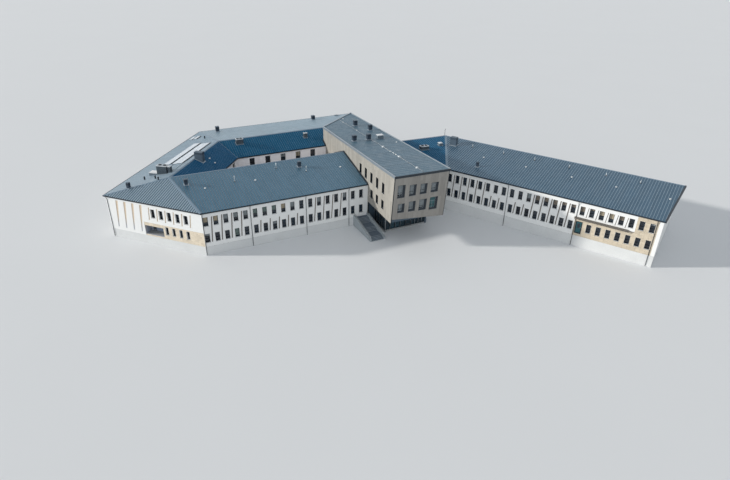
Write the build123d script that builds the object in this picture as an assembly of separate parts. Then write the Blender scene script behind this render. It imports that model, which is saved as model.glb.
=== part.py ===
from build123d import *
import math
import os

# School building, modelled at 1:10. Every size is in millimetres of the model,
# so 100 mm here is one metre of the real school. Height 0 is the lowest ground.

# Directions of the walls on plan, in degrees from +X
front_angle = 26.6
west_end_angle = 160.65
west_angle = 79.8
back_angle = 27.2
bar_angle = 113.5
right_angle = -34.04
right_verge_angle = 52.5
back_end_angle = 93

# Lengths on plan
front_length = 3593
west_end_length = 2300
west_length = 4360
right_length = 4590
link_length = 752
bar_width = 1233
bar_front_reach = 1306
bar_left_back = 2935
bar_right_back = 4132

# Depths of the wings, from the outer wall to the ridge and to the inner wall
front_ridge_depth = 1435
front_depth = 2065
west_ridge_depth = 1140
west_depth = 1750
back_ridge_depth = 1755
back_depth = 2400
right_ridge_depth = 1490
right_depth = 2120

# Heights
eave_height = 947
ridge_height = 1207
right_eave_height = 1030
right_ridge_height = 1270
bar_roof_height = 1588
bar_roof_fall = 0.0515
bar_underside = 530
bar_second_floor_height = 1035
bar_face_lean = 5.7
bar_skirt_left = 622
bar_skirt_right = 510
bar_beam_top = 650
wing_floor_height = 225
right_floor_height = 300
storey = 360

# Thicknesses
wall = 40
roof_thickness = 30
slab = 30
bar_slab = 60
corner_clear = 22
bar_beam_depth = 60
glass = 6

# Roof overhangs
overhang = 25
gable_overhang = 35
bar_overhang = 10

# Windows of the white wings
window_width = 98
window_height = 195
window_pitch = 198
front_window_start = 63
front_window_end = 164
front_window_count = 18
lower_centre = 382
upper_centre = 742
right_window_pitch = 188
right_window_start = 100
right_window_count = 24
right_lower_centre = 460
right_upper_centre = 820
west_end_window_start = 381
west_end_window_count = 5
west_end_upper_centre = 720
west_end_lower_centres = [377, 546, 719, 884]
west_end_lower_width = 80
west_end_lower_centre = 380
west_end_lower_height = 180
plain_window_margin = 220
glass_lap = 10
court_window_pitch = 400
court_window_width = 130
court_window_height = 235
court_lower_centre = 402
court_upper_centre = 762

# Windows of the bar: start along the face, width, sill and head
bar_face_windows = [
    (87, 161, 1107, 1387),
    (349, 150, 1115, 1361),
    (593, 153, 1120, 1349),
    (843, 163, 1124, 1340),
    (122, 149, 761, 963),
    (370, 150, 754, 980),
    (608, 168, 739, 990),
    (853, 183, 714, 1000),
]
bar_side_pitch = 300
bar_side_upper_first = -790
bar_side_upper_count = 5
bar_side_lower_first = -780
bar_side_lower_pitch = 280
bar_side_lower_count = 3
bar_side_window_width = 110
bar_side_upper_centre = 1152
bar_side_upper_height = 225
bar_side_lower_centre = 785
bar_side_lower_height = 190
bar_face_glass_lap = 8
bar_side_glass_lap = 4

# Porch in the west end wall
porch_start = 970
porch_width = 459
porch_head = 425
porch_depth = 150
porch_wall = 20
porch_glass_margin = 40

# Glazed ground floor under the bar
storefront_setback = 565
storefront_side_recess = 173
frame_depth = 20
frame_bar = 12
left_bays = 4
left_bay = 130
door_bay = 150
right_bays = 4
side_bays = 4
corner_gap = 2
post_radius = 11
post_offset = 25

# Doors
door_gap = 7.5
door_thickness = 10
door_height = 235
pin_radius = 4
pin_clearance = 0.3
pin_depth = 8.5
socket_floor = 1
socket_overcut = 5
side_door_centre = 3097
side_door_opening = 140
side_door_frame = 14

# Strip canopy on the right wing
canopy_start = 2990
canopy_length = 1050
canopy_low = 640
canopy_thickness = 28
canopy_depth = 60

# Stair at the foot of the front wing
stair_width = 350
stair_landing = 120
stair_top = 200
stair_going = 32
stair_rest = 211
stair_flights = [5, 4, 4]
stair_start = front_length - stair_width
parapet = 30
parapet_rise = 45

# Chimneys and boxes on the roofs: roof, distance along, distance back, length, width, height
chimneys = [
    ("front", -60, 1065, 70, 70, 110),
    ("front", 2407, 1087, 70, 70, 110),
    ("hip", 374, 284, 60, 60, 110),
    ("west_court", -2575, 500, 110, 190, 190),
    ("back", 4130, 315, 90, 90, 130),
    ("back", 1320, 275, 90, 90, 110),
    ("bar", 820, 2762, 90, 90, 130),
    ("bar", 989, 2182, 90, 90, 130),
    ("bar", 247, 1416, 90, 90, 130),
    ("bar", 601, 1382, 90, 90, 130),
    ("right", -397, 1109, 160, 110, 190),
    ("right", 587, 358, 50, 50, 110),
]
roof_boxes = [
    ("west", 3395, 590, 150, 190, 45),
    ("west", 3425, 817, 130, 226, 180),
    ("west", 3440, 985, 80, 60, 140),
    ("west", 3080, 490, 60, 60, 90),
    ("back_court", -3950, 470, 170, 110, 110),
    ("back_court", -2240, 370, 90, 70, 110),
    ("bar", 912, 1419, 150, 110, 70),
    ("link", -84, 973, 200, 120, 80),
    ("link", 411, 1055, 90, 90, 60),
]

# Solar panels on the west roof: distance along, distance back, length, width
panel_rows = [
    (1306, 460, 1510, 180),
    (1420, 710, 1450, 255),
    (560, 60, 240, 95),
    (560, 185, 240, 95),
]
panel_height = 14

# Bounds used only to cut and trim
REACH = 30000
TALL = 2 * bar_roof_height
CUT_MARGIN = 20


def unit(angle):
    return Vector(math.cos(math.radians(angle)), math.sin(math.radians(angle)))


def left_of(angle):
    return unit(angle + 90)


def line(point, angle):
    return (point, angle)


def moved(base, distance):
    """The same line, shifted to its left."""
    return (base[0] + left_of(base[1]) * distance, base[1])


def turned(base):
    """The same line, walked the other way."""
    return (base[0], base[1] + 180)


def along(base, distance):
    return base[0] + unit(base[1]) * distance


def meet(first, second):
    """Where two plan lines cross."""
    gap = second[0] - first[0]
    toward = unit(first[1])
    across = left_of(second[1])
    return first[0] + toward * (gap.dot(across) / toward.dot(across))


def distance_along(base, point):
    return (point - base[0]).dot(unit(base[1]))


def roof_plane(eave_line, eave, depth, ridge):
    """Height of a roof slope that rises to the left of its eave line."""
    slope = (ridge - eave) / depth
    start = eave_line[0]
    uphill = left_of(eave_line[1])
    return lambda point: eave + slope * (point - start).dot(uphill)


def at_height(point, height):
    return Vector(point.X, point.Y, height)


def prism(points, low, high):
    face = Face(Wire.make_polygon([at_height(point, low) for point in points], close=True))
    return extrude(face, amount=high - low, dir=(0, 0, 1))


def roof_plate(points, plane):
    """A roof slope of even thickness, cut plumb along its edges."""
    top = [at_height(point, plane(point)) for point in points]
    face = Face(Wire.make_polygon(top, close=True))
    return extrude(face, amount=roof_thickness, dir=(0, 0, -1))


def space_above(plane, drop=0.0):
    """Everything above a slope that is lowered by drop."""
    corners = [(-REACH, -REACH), (REACH, -REACH), (REACH, REACH), (-REACH, REACH)]
    lifted = [at_height(Vector(*corner), plane(Vector(*corner)) - drop) for corner in corners]
    face = Face(Wire.make_polygon(lifted, close=True))
    return extrude(face, amount=REACH, dir=(0, 0, 1))


def under_roofs(piece, planes):
    for plane in planes:
        piece = piece - space_above(plane, roof_thickness)
    return piece


def wall_between(outer, before, after, low, high, inner_before=None, inner_after=None):
    """A wall on the left of its outer line, mitred against the lines before and after it."""
    inner = moved(outer, wall)
    points = [
        meet(outer, before),
        meet(outer, after),
        meet(inner, inner_after or after),
        meet(inner, inner_before or before),
    ]
    return prism(points, low, high)


def block(base, start, depth_from, length, depth, low, high):
    """A box that lies along a plan line."""
    first = along(base, start) + left_of(base[1]) * depth_from
    run = unit(base[1]) * length
    back = left_of(base[1]) * depth
    return prism([first, first + run, first + run + back, first + back], low, high)


def openings(base, centres, width, centre_height, height):
    """Tools that cut a row of windows through a wall."""
    low = centre_height - height / 2
    depth = wall + 2 * CUT_MARGIN
    return [
        block(base, centre - width / 2, -CUT_MARGIN, width, depth, low, low + height)
        for centre in centres
    ]


def row(first, pitch, count):
    return [first + index * pitch for index in range(count)]


def even_row(low, high, pitch):
    """Window centres spread evenly between two ends."""
    count = int((high - low - 2 * plain_window_margin) / pitch) + 1
    first = (low + high - (count - 1) * pitch) / 2
    return row(first, pitch, count)


def spread(base, before, after, pitch):
    """Even window centres along a line, between the two lines that bound it."""
    ends = sorted([distance_along(base, meet(base, before)), distance_along(base, meet(base, after))])
    return even_row(ends[0], ends[1], pitch)


def two_rows(base, centres, lower, upper):
    cuts = openings(base, centres, window_width, lower, window_height)
    return cuts + openings(base, centres, window_width, upper, window_height)


def court_rows(base, centres):
    cuts = openings(base, centres, court_window_width, court_lower_centre, court_window_height)
    return cuts + openings(base, centres, court_window_width, court_upper_centre, court_window_height)


def sheet(base, start, end, centre_height, height):
    """Glass against the inner face of a wall."""
    low = centre_height - height / 2 - glass_lap
    return block(base, start, wall, end - start, glass, low, low + height + 2 * glass_lap)


# Plan lines. Each outer line has its building on the left.
corner = Vector(0, 0)
front = line(corner, front_angle)
west_end_far = corner + unit(west_end_angle) * west_end_length
west_end = line(west_end_far, west_end_angle + 180)
west_far = west_end_far + unit(west_angle) * west_length
west = line(west_far, west_angle + 180)
front_end = along(front, front_length)
bar_left = line(front_end, bar_angle + 180)
bar_across = bar_angle - 90
bar_right = line(front_end + unit(bar_across) * bar_width, bar_angle)
link_corner = front_end + unit(bar_across) * (bar_width + link_length)
link = line(link_corner, bar_across)
right = line(link_corner, right_angle)
right_gable = line(along(right, right_length), right_angle + 90)
front_court = turned(moved(front, front_depth))
west_court = turned(moved(west, west_depth))
right_rear = turned(moved(right, right_depth))
link_rear = turned(moved(link, right_depth))


def bar_point(side, reach):
    """A point of the bar: side runs across from its left wall, reach runs back."""
    return front_end + unit(bar_across) * side + unit(bar_angle) * reach


bar_back_left = bar_point(0, bar_left_back)
bar_back_right = bar_point(bar_width, bar_right_back)
back_end = line(bar_back_right, back_end_angle)
back_far = meet(line(west_far, back_angle), back_end)
back = line(back_far, back_angle + 180)
back_court = turned(moved(back, back_depth))
bar_back_gap = bar_back_left - bar_back_right
bar_back = line(bar_back_right, math.degrees(math.atan2(bar_back_gap.Y, bar_back_gap.X)))
storefront = line(bar_point(storefront_side_recess, -storefront_setback), front_angle)
storefront_side = line(bar_point(storefront_side_recess, 0), bar_angle + 180)

# Eaves and ridges
front_eave = moved(front, -overhang)
west_end_eave = moved(west_end, -overhang)
west_eave = moved(west, -overhang)
back_eave = moved(back, -overhang)
right_eave = moved(right, -overhang)
link_eave = moved(link, -overhang)
front_court_eave = moved(front_court, -overhang)
west_court_eave = moved(west_court, -overhang)
back_court_eave = moved(back_court, -overhang)
right_rear_eave = moved(right_rear, -overhang)
link_rear_eave = moved(link_rear, -overhang)
back_end_edge = moved(back_end, -overhang)
gable_edge = moved(right_gable, -gable_overhang)
right_verge = line(meet(right_eave, gable_edge), right_verge_angle)
front_ridge = moved(front, front_ridge_depth)
west_ridge = moved(west, west_ridge_depth)
back_ridge = moved(back, back_ridge_depth)
right_ridge = moved(right, right_ridge_depth)
link_ridge = moved(link, right_ridge_depth)
west_peak = meet(front_ridge, west_ridge)
north_peak = meet(west_ridge, back_ridge)
right_peak = meet(right_ridge, link_ridge)
verge_peak = meet(right_ridge, right_verge)
hip_run = (west_peak - west_end_eave[0]).dot(left_of(west_end_eave[1]))

# Roof slopes
front_slope = roof_plane(front_eave, eave_height, front_ridge_depth + overhang, ridge_height)
hip_slope = roof_plane(west_end_eave, eave_height, hip_run, ridge_height)
west_slope = roof_plane(west_eave, eave_height, west_ridge_depth + overhang, ridge_height)
back_slope = roof_plane(back_eave, eave_height, back_ridge_depth + overhang, ridge_height)
front_court_run = front_depth - front_ridge_depth + overhang
west_court_run = west_depth - west_ridge_depth + overhang
back_court_run = back_depth - back_ridge_depth + overhang
right_rear_run = right_depth - right_ridge_depth + overhang
front_court_slope = roof_plane(front_court_eave, eave_height, front_court_run, ridge_height)
west_court_slope = roof_plane(west_court_eave, eave_height, west_court_run, ridge_height)
back_court_slope = roof_plane(back_court_eave, eave_height, back_court_run, ridge_height)
right_run = right_ridge_depth + overhang
right_slope = roof_plane(right_eave, right_eave_height, right_run, right_ridge_height)
link_slope = roof_plane(link_eave, right_eave_height, right_run, right_ridge_height)
right_rear_slope = roof_plane(right_rear_eave, right_eave_height, right_rear_run, right_ridge_height)
link_rear_slope = roof_plane(link_rear_eave, right_eave_height, right_rear_run, right_ridge_height)


def bar_slope(point):
    reach = (point - front_end).dot(unit(bar_angle))
    return bar_roof_height - bar_roof_fall * (reach + bar_front_reach)


# Window rows, as distances along the lines of their walls
front_pitch = (front_length - front_window_start - front_window_end) / (front_window_count - 1)
front_windows = row(front_window_start, front_pitch, front_window_count)
west_end_upper = [
    west_end_length - centre
    for centre in row(west_end_window_start, window_pitch, west_end_window_count)
]
west_end_lower = [west_end_length - centre for centre in west_end_lower_centres]
porch_middle = west_end_length - porch_start - porch_width / 2
west_windows = spread(west, back, west_end, window_pitch)
back_windows = spread(back, back_end, west, window_pitch)
front_court_windows = spread(front_court, bar_left, west_court, court_window_pitch)
west_court_windows = spread(west_court, front_court, back_court, court_window_pitch)
back_court_windows = spread(back_court, west_court, bar_left, court_window_pitch)
link_windows = spread(link, bar_right, right, right_window_pitch)
right_windows = row(right_window_start, right_window_pitch, right_window_count)
rear_windows = spread(right_rear, right_gable, link_rear, right_window_pitch)
link_rear_windows = spread(link_rear, right_rear, bar_right, right_window_pitch)
door_index = round((side_door_centre - right_window_start) / right_window_pitch)
front_line_at_bar = line(front_end, bar_across)
court_reach = [
    distance_along(turned(bar_left), meet(front_court, bar_left)),
    distance_along(turned(bar_left), meet(back_court, bar_left)),
]
court_bar_windows = [-reach for reach in even_row(court_reach[0], court_reach[1], bar_side_pitch)]
yard_reach = [distance_along(bar_right, meet(link_rear, bar_right)), bar_right_back]
yard_bar_windows = even_row(yard_reach[0], yard_reach[1], bar_side_pitch)
side_door_total = door_height + 2 * (side_door_frame + door_gap)
bar_lean = math.tan(math.radians(bar_face_lean))

pieces = {}


def wing_walls():
    """Outer and court walls of the west block, each with its window rows."""
    bar_face = turned(bar_left)
    pieces["front_wall"] = under_roofs(
        wall_between(front, west_end, bar_face, 0, TALL, moved(west_end, wall)),
        [front_slope, hip_slope],
    ) - two_rows(front, front_windows, lower_centre, upper_centre)

    end_wall = under_roofs(
        wall_between(west_end, west, front, 0, TALL, moved(west, wall), moved(front, wall)),
        [hip_slope, front_slope, west_slope],
    )
    end_wall = end_wall - openings(
        west_end, west_end_upper, window_width, west_end_upper_centre, window_height
    )
    end_wall = end_wall - openings(
        west_end, west_end_lower, west_end_lower_width, west_end_lower_centre, west_end_lower_height
    )
    porch_height = porch_head - wing_floor_height
    pieces["west_end_wall"] = end_wall - openings(
        west_end, [porch_middle], porch_width, porch_head - porch_height / 2, porch_height
    )

    pieces["west_wall"] = under_roofs(
        wall_between(west, back, west_end, 0, TALL, moved(back, wall), moved(west_end, wall)),
        [west_slope, hip_slope, back_slope],
    ) - two_rows(west, west_windows, lower_centre, upper_centre)
    pieces["back_wall"] = under_roofs(
        wall_between(back, back_end, west, 0, TALL, moved(back_end, wall), moved(west, wall)),
        [back_slope, west_slope],
    ) - two_rows(back, back_windows, lower_centre, upper_centre)
    pieces["back_end_wall"] = under_roofs(
        wall_between(back_end, bar_back, back, 0, TALL, None, moved(back, wall)),
        [back_slope],
    )

    pieces["court_front_wall"] = under_roofs(
        wall_between(front_court, bar_left, west_court, 0, TALL, None, moved(west_court, wall)),
        [front_court_slope],
    ) - court_rows(front_court, front_court_windows)
    pieces["court_west_wall"] = under_roofs(
        wall_between(
            west_court, front_court, back_court, 0, TALL, moved(front_court, wall), moved(back_court, wall)
        ),
        [west_court_slope],
    ) - court_rows(west_court, west_court_windows)
    pieces["court_back_wall"] = under_roofs(
        wall_between(back_court, west_court, bar_left, 0, TALL, moved(west_court, wall)),
        [back_court_slope],
    ) - court_rows(back_court, back_court_windows)


def right_walls():
    """Walls of the right wing and of the link that joins it to the bar."""
    pieces["link_wall"] = under_roofs(
        wall_between(link, turned(bar_right), right, 0, TALL, None, moved(right, wall)),
        [link_slope],
    ) - two_rows(link, link_windows, right_lower_centre, right_upper_centre)

    long_wall = under_roofs(
        wall_between(right, link, right_gable, 0, TALL, moved(link, wall), moved(right_gable, wall)),
        [right_slope],
    )
    lower = [centre for index, centre in enumerate(right_windows) if index != door_index]
    long_wall = long_wall - openings(right, lower, window_width, right_lower_centre, window_height)
    long_wall = long_wall - openings(right, right_windows, window_width, right_upper_centre, window_height)
    long_wall = long_wall - openings(
        right, [side_door_centre], side_door_opening,
        right_floor_height + side_door_total / 2, side_door_total
    )
    door_left = side_door_centre - side_door_opening / 2
    door_strip = block(
        right, door_left, -CUT_MARGIN, side_door_opening, wall + 2 * CUT_MARGIN, 0, TALL
    )
    pieces["right_wall"] = (long_wall - door_strip).solids()
    pieces["right_wall_at_door"] = (long_wall & door_strip).solids()

    pieces["right_gable_wall"] = under_roofs(
        wall_between(
            right_gable, right, right_rear, 0, TALL, moved(right, wall), moved(right_rear, wall)
        ),
        [right_slope, right_rear_slope],
    )
    pieces["right_rear_wall"] = under_roofs(
        wall_between(
            right_rear, right_gable, link_rear, 0, TALL, moved(right_gable, wall), moved(link_rear, wall)
        ),
        [right_rear_slope],
    ) - two_rows(right_rear, rear_windows, right_lower_centre, right_upper_centre)
    pieces["link_rear_wall"] = under_roofs(
        wall_between(link_rear, right_rear, bar_right, 0, TALL, moved(right_rear, wall)),
        [link_rear_slope],
    ) - two_rows(link_rear, link_rear_windows, right_lower_centre, right_upper_centre)
    pieces["right_canopy"] = block(
        right, canopy_start, -canopy_depth, canopy_length, canopy_depth,
        canopy_low, canopy_low + canopy_thickness
    )


def roofs():
    """Roof slopes, each cut plumb where it meets the next slope or a wall of the bar."""
    bar_side = turned(bar_left)
    front_peak = meet(front_ridge, bar_side)
    back_peak = meet(back_ridge, bar_back)
    front_corner = meet(front_eave, west_end_eave)
    west_corner = meet(west_end_eave, west_eave)
    north_corner = meet(west_eave, back_eave)
    court_corner = meet(front_court_eave, west_court_eave)
    court_back_corner = meet(west_court_eave, back_court_eave)
    right_corner = meet(right_eave, link_eave)
    rear_corner = meet(right_rear_eave, link_rear_eave)
    outlines = {
        "front_roof": (
            [front_corner, meet(front_eave, bar_side), front_peak, west_peak],
            front_slope,
        ),
        "front_court_roof": (
            [west_peak, front_peak, meet(front_court_eave, bar_side), court_corner],
            front_court_slope,
        ),
        "west_hip_roof": ([front_corner, west_peak, west_corner], hip_slope),
        "west_roof": ([west_corner, west_peak, north_peak, north_corner], west_slope),
        "west_court_roof": ([west_peak, court_corner, court_back_corner, north_peak], west_court_slope),
        "back_court_roof": (
            [north_peak, court_back_corner, meet(back_court_eave, bar_side), bar_back_left, back_peak],
            back_court_slope,
        ),
        "back_roof": (
            [
                north_corner,
                north_peak,
                back_peak,
                meet(bar_back, back_end_edge),
                meet(back_eave, back_end_edge),
            ],
            back_slope,
        ),
        "right_roof": (
            [right_corner, right_verge[0], verge_peak, right_peak],
            right_slope,
        ),
        "right_rear_roof": (
            [right_peak, verge_peak, meet(right_rear_eave, gable_edge), rear_corner],
            right_rear_slope,
        ),
        "link_roof": (
            [right_corner, right_peak, meet(link_ridge, bar_right), meet(link_eave, bar_right)],
            link_slope,
        ),
        "link_rear_roof": (
            [right_peak, rear_corner, meet(link_rear_eave, bar_right), meet(link_ridge, bar_right)],
            link_rear_slope,
        ),
    }
    for name, (points, plane) in outlines.items():
        pieces[name] = roof_plate(points, plane)
    bar_edge_front = line(bar_point(0, -bar_front_reach - bar_overhang), bar_across)
    sides = [moved(bar_left, -bar_overhang), bar_edge_front, moved(bar_right, -bar_overhang)]
    rim = sides + [moved(bar_back, -bar_overhang)]
    corners = [meet(rim[index - 1], rim[index]) for index in range(len(rim))]
    pieces["bar_roof"] = roof_plate(corners, bar_slope)


def face_reach(height, depth=0.0):
    """Reach of the leaning front face of the bar, or of a plane that far behind it."""
    return -bar_front_reach + (bar_roof_height - height) * bar_lean + depth


def across_bar(profile, side_from, side_to):
    """A solid with a profile of reach and height, drawn across the bar."""
    points = [at_height(bar_point(side_from, reach), height) for reach, height in profile]
    face = Face(Wire.make_polygon(points, close=True))
    run = unit(bar_across)
    return extrude(face, amount=side_to - side_from, dir=(run.X, run.Y, 0))


def leaning_plate(side_from, side_to, low, high, depth, thickness):
    profile = [
        (face_reach(low, depth), low),
        (face_reach(high, depth), high),
        (face_reach(high, depth + thickness), high),
        (face_reach(low, depth + thickness), low),
    ]
    return across_bar(profile, side_from, side_to)


def bar_side_wall(side, window_base, direction):
    """Front part of a side wall of the bar, from behind the leaning face to the front wing."""
    profile = [
        (face_reach(bar_underside, wall), bar_underside),
        (face_reach(TALL, wall), TALL),
        (0, TALL),
        (0, bar_underside),
    ]
    piece = under_roofs(across_bar(profile, side, side + wall), [bar_slope])
    upper = row(bar_side_upper_first, bar_side_pitch, bar_side_upper_count)
    lower = row(bar_side_lower_first, bar_side_lower_pitch, bar_side_lower_count)
    return piece - bar_side_cuts(window_base, direction, upper, lower)


def bar_side_cuts(base, direction, upper, lower):
    upper_tools = openings(
        base, [direction * reach for reach in upper],
        bar_side_window_width, bar_side_upper_centre, bar_side_upper_height
    )
    lower_tools = openings(
        base, [direction * reach for reach in lower],
        bar_side_window_width, bar_side_lower_centre, bar_side_lower_height
    )
    return upper_tools + lower_tools


def bar_walls():
    """The raised bar: leaning front, side walls, oblique back and the edge beam under the front."""
    face = leaning_plate(0, bar_width, bar_skirt_right, TALL, 0, wall)
    face = under_roofs(face, [bar_slope])
    skirt_points = [
        bar_point(-CUT_MARGIN, -bar_front_reach - wall),
        bar_point(-CUT_MARGIN, 0),
    ]
    skirt_left = bar_skirt_left + (bar_skirt_left - bar_skirt_right) * CUT_MARGIN / bar_width
    skirt = Face(Wire.make_polygon([
        at_height(skirt_points[0], 0),
        at_height(skirt_points[0], skirt_left),
        at_height(bar_point(bar_width + CUT_MARGIN, -bar_front_reach - wall), bar_skirt_right),
        at_height(bar_point(bar_width + CUT_MARGIN, -bar_front_reach - wall), 0),
    ], close=True))
    run = unit(bar_angle)
    face = face - extrude(skirt, amount=2 * bar_front_reach, dir=(run.X, run.Y, 0))
    cuts = [
        across_bar(
            [(-2 * bar_front_reach, sill), (-2 * bar_front_reach, head), (0, head), (0, sill)],
            start, start + width
        )
        for start, width, sill, head in bar_face_windows
    ]
    pieces["bar_front_wall"] = face - cuts

    pieces["bar_side_walls_front"] = [
        bar_side_wall(0, bar_left, -1),
        bar_side_wall(bar_width - wall, bar_right, 1),
    ]
    upper = row(bar_side_upper_first, bar_side_pitch, bar_side_upper_count)
    left_back = under_roofs(
        wall_between(bar_left, bar_back, front_line_at_bar, 0, TALL, moved(bar_back, wall)),
        [bar_slope],
    )
    left_back = left_back - openings(
        bar_left, [-reach for reach in upper if reach > 0],
        bar_side_window_width, bar_side_upper_centre, bar_side_upper_height
    )
    left_back = left_back - two_rows(bar_left, court_bar_windows, lower_centre, upper_centre)
    right_back = under_roofs(
        wall_between(bar_right, front_line_at_bar, bar_back, 0, TALL, None, moved(bar_back, wall)),
        [bar_slope],
    )
    right_back = right_back - openings(
        bar_right, [reach for reach in upper if reach > 0],
        bar_side_window_width, bar_side_upper_centre, bar_side_upper_height
    )
    right_back = right_back - two_rows(bar_right, yard_bar_windows, lower_centre, upper_centre)
    pieces["bar_side_walls_back"] = [left_back, right_back]
    pieces["bar_back_wall"] = under_roofs(
        wall_between(bar_back, bar_right, bar_left, 0, TALL, moved(bar_right, wall), moved(bar_left, wall)),
        [bar_slope],
    )
    beam_back = face_reach(bar_underside, wall) + bar_beam_depth
    pieces["bar_front_beam"] = across_bar(
        [
            (face_reach(bar_underside, wall), bar_underside),
            (face_reach(bar_beam_top, wall), bar_beam_top),
            (beam_back, bar_beam_top),
            (beam_back, bar_underside),
        ],
        wall, bar_width - wall
    )


def stacked(points, tops, thickness):
    """Floor slabs of one outline, one for each floor height."""
    return [prism(points, top - thickness, top) for top in tops]


def floors():
    """Floor slabs of each wing, between the inner faces of its walls."""
    front_in = moved(front, wall)
    west_end_in = moved(west_end, wall)
    west_in = moved(west, wall)
    back_in = moved(back, wall)
    back_end_in = moved(back_end, wall)
    front_court_in = moved(front_court, wall)
    west_court_in = moved(west_court, wall)
    back_court_in = moved(back_court, wall)
    tops = [wing_floor_height, wing_floor_height + storey]
    pieces["front_floors"] = stacked(
        [
            meet(front_in, west_end_in),
            meet(front_in, bar_left),
            meet(front_court_in, bar_left),
            meet(front_court_in, west_in),
            meet(west_end_in, west_in),
        ],
        tops, slab
    )
    pieces["west_floors"] = stacked(
        [
            meet(front_court_in, west_in),
            meet(front_court_in, west_court_in),
            meet(back_court_in, west_court_in),
            meet(back_court_in, west_in),
        ],
        tops, slab
    )
    pieces["back_floors"] = stacked(
        [
            meet(back_court_in, west_in),
            meet(back_court_in, bar_left),
            bar_back_left,
            meet(back_end_in, bar_back),
            meet(back_in, back_end_in),
            meet(back_in, west_in),
        ],
        tops, slab
    )
    link_in = moved(link, wall)
    right_in = moved(right, wall)
    gable_in = moved(right_gable, wall)
    right_rear_in = moved(right_rear, wall)
    link_rear_in = moved(link_rear, wall)
    right_tops = [right_floor_height, right_floor_height + storey]
    front_joint = meet(link_in, right_in)
    rear_joint = meet(right_rear_in, link_rear_in)
    pieces["link_floors"] = stacked(
        [meet(link_in, bar_right), front_joint, rear_joint, meet(link_rear_in, bar_right)],
        right_tops, slab
    )
    pieces["right_floors"] = stacked(
        [front_joint, meet(right_in, gable_in), meet(gable_in, right_rear_in), rear_joint],
        right_tops, slab
    )
    bar_left_in = moved(bar_left, wall)
    bar_right_in = moved(bar_right, wall)
    bar_back_in = moved(bar_back, wall)
    back_corners = [meet(bar_right_in, bar_back_in), meet(bar_left_in, bar_back_in)]
    ground = prism(
        [
            storefront[0],
            meet(storefront, bar_right_in),
            back_corners[0],
            back_corners[1],
            bar_point(wall, wall),
            bar_point(storefront_side_recess, wall),
        ],
        0, slab
    )
    beam_line = line(bar_point(0, face_reach(bar_underside, wall) + bar_beam_depth), bar_across)
    raised = [meet(beam_line, bar_left_in), meet(beam_line, bar_right_in)] + back_corners
    first = prism(raised, bar_underside, bar_underside + bar_slab)
    second_top = bar_second_floor_height
    second_profile = [
        (face_reach(second_top - slab, wall), second_top - slab),
        (face_reach(second_top, wall), second_top),
        (0, second_top),
        (0, second_top - slab),
    ]
    second = across_bar(second_profile, wall, bar_width - wall)
    zero_line = [bar_point(wall, 0), bar_point(bar_width - wall, 0)]
    second = second + prism(zero_line + back_corners, second_top - slab, second_top)
    pieces["bar_floors"] = [ground, first, second]


def joined_glass(base, centres, centre_height, height, width=window_width):
    """One sheet behind a whole row of windows."""
    start = min(centres) - width / 2 - glass_lap
    if base is front:
        start = corner_clear
    end = max(centres) + width / 2 + glass_lap
    return sheet(base, start, end, centre_height, height)


def window_glass():
    """Glass of the white wings: one sheet for each storey of a wall."""
    wing_rows = [
        (front, front_windows),
        (west, west_windows),
        (back, back_windows),
    ]
    court_sides = [
        (front_court, front_court_windows),
        (west_court, west_court_windows),
        (back_court, back_court_windows),
    ]
    right_rows = [
        (link, link_windows),
        (right_rear, rear_windows),
        (link_rear, link_rear_windows),
    ]
    lower = [joined_glass(base, centres, lower_centre, window_height) for base, centres in wing_rows]
    upper = [joined_glass(base, centres, upper_centre, window_height) for base, centres in wing_rows]
    for base, centres in court_sides:
        lower.append(joined_glass(
            base, centres, court_lower_centre, court_window_height, court_window_width
        ))
        upper.append(joined_glass(
            base, centres, court_upper_centre, court_window_height, court_window_width
        ))
    for base, centres in right_rows:
        lower.append(joined_glass(base, centres, right_lower_centre, window_height))
        upper.append(joined_glass(base, centres, right_upper_centre, window_height))
    lower.append(joined_glass(right, right_windows[:door_index], right_lower_centre, window_height))
    lower.append(joined_glass(right, right_windows[door_index + 1:], right_lower_centre, window_height))
    upper.append(joined_glass(right, right_windows, right_upper_centre, window_height))
    lower.append(
        joined_glass(
            west_end, west_end_lower, west_end_lower_centre, west_end_lower_height, west_end_lower_width
        )
    )
    upper.append(joined_glass(west_end, west_end_upper, west_end_upper_centre, window_height))
    pieces["window_glass"] = lower + upper


def bar_window_glass():
    """Glass of the bar: leaning sheets behind its face and sheets along its sides."""
    margin = bar_face_glass_lap
    lower_face = bar_face_windows[4:]
    upper_face = bar_face_windows[:4]
    sheets = []
    for face_row in (lower_face, upper_face):
        low = min(sill for start, width, sill, head in face_row) - margin
        high = max(head for start, width, sill, head in face_row) + margin
        high = min(high, bar_second_floor_height - slab) if face_row is lower_face else high
        left = face_row[0][0] - margin
        right_side = face_row[-1][0] + face_row[-1][1] + margin
        sheets.append(leaning_plate(left, right_side, low, high, wall, glass))
    upper = row(bar_side_upper_first, bar_side_pitch, bar_side_upper_count)
    lower = row(bar_side_lower_first, bar_side_lower_pitch, bar_side_lower_count)
    for base, direction in ((bar_left, -1), (bar_right, 1)):
        lower_centres = [direction * reach for reach in lower]
        upper_centres = [direction * reach for reach in upper]
        sheets.append(side_sheet(base, lower_centres, bar_side_lower_centre, bar_side_lower_height))
        sheets.append(side_sheet(base, upper_centres, bar_side_upper_centre, bar_side_upper_height))
    for base, centres in ((bar_left, court_bar_windows), (bar_right, yard_bar_windows)):
        sheets.append(joined_glass(base, centres, lower_centre, window_height))
        sheets.append(joined_glass(base, centres, upper_centre, window_height))
    pieces["bar_glass"] = sheets


def side_sheet(base, centres, centre_height, height):
    """A sheet that only just laps the heads and sills, between two close floors."""
    margin = bar_side_glass_lap
    start = min(centres) - bar_side_window_width / 2 - margin
    end = max(centres) + bar_side_window_width / 2 + margin
    low = centre_height - height / 2 - margin
    return block(base, start, wall, end - start, glass, low, low + height + 2 * margin)


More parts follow.
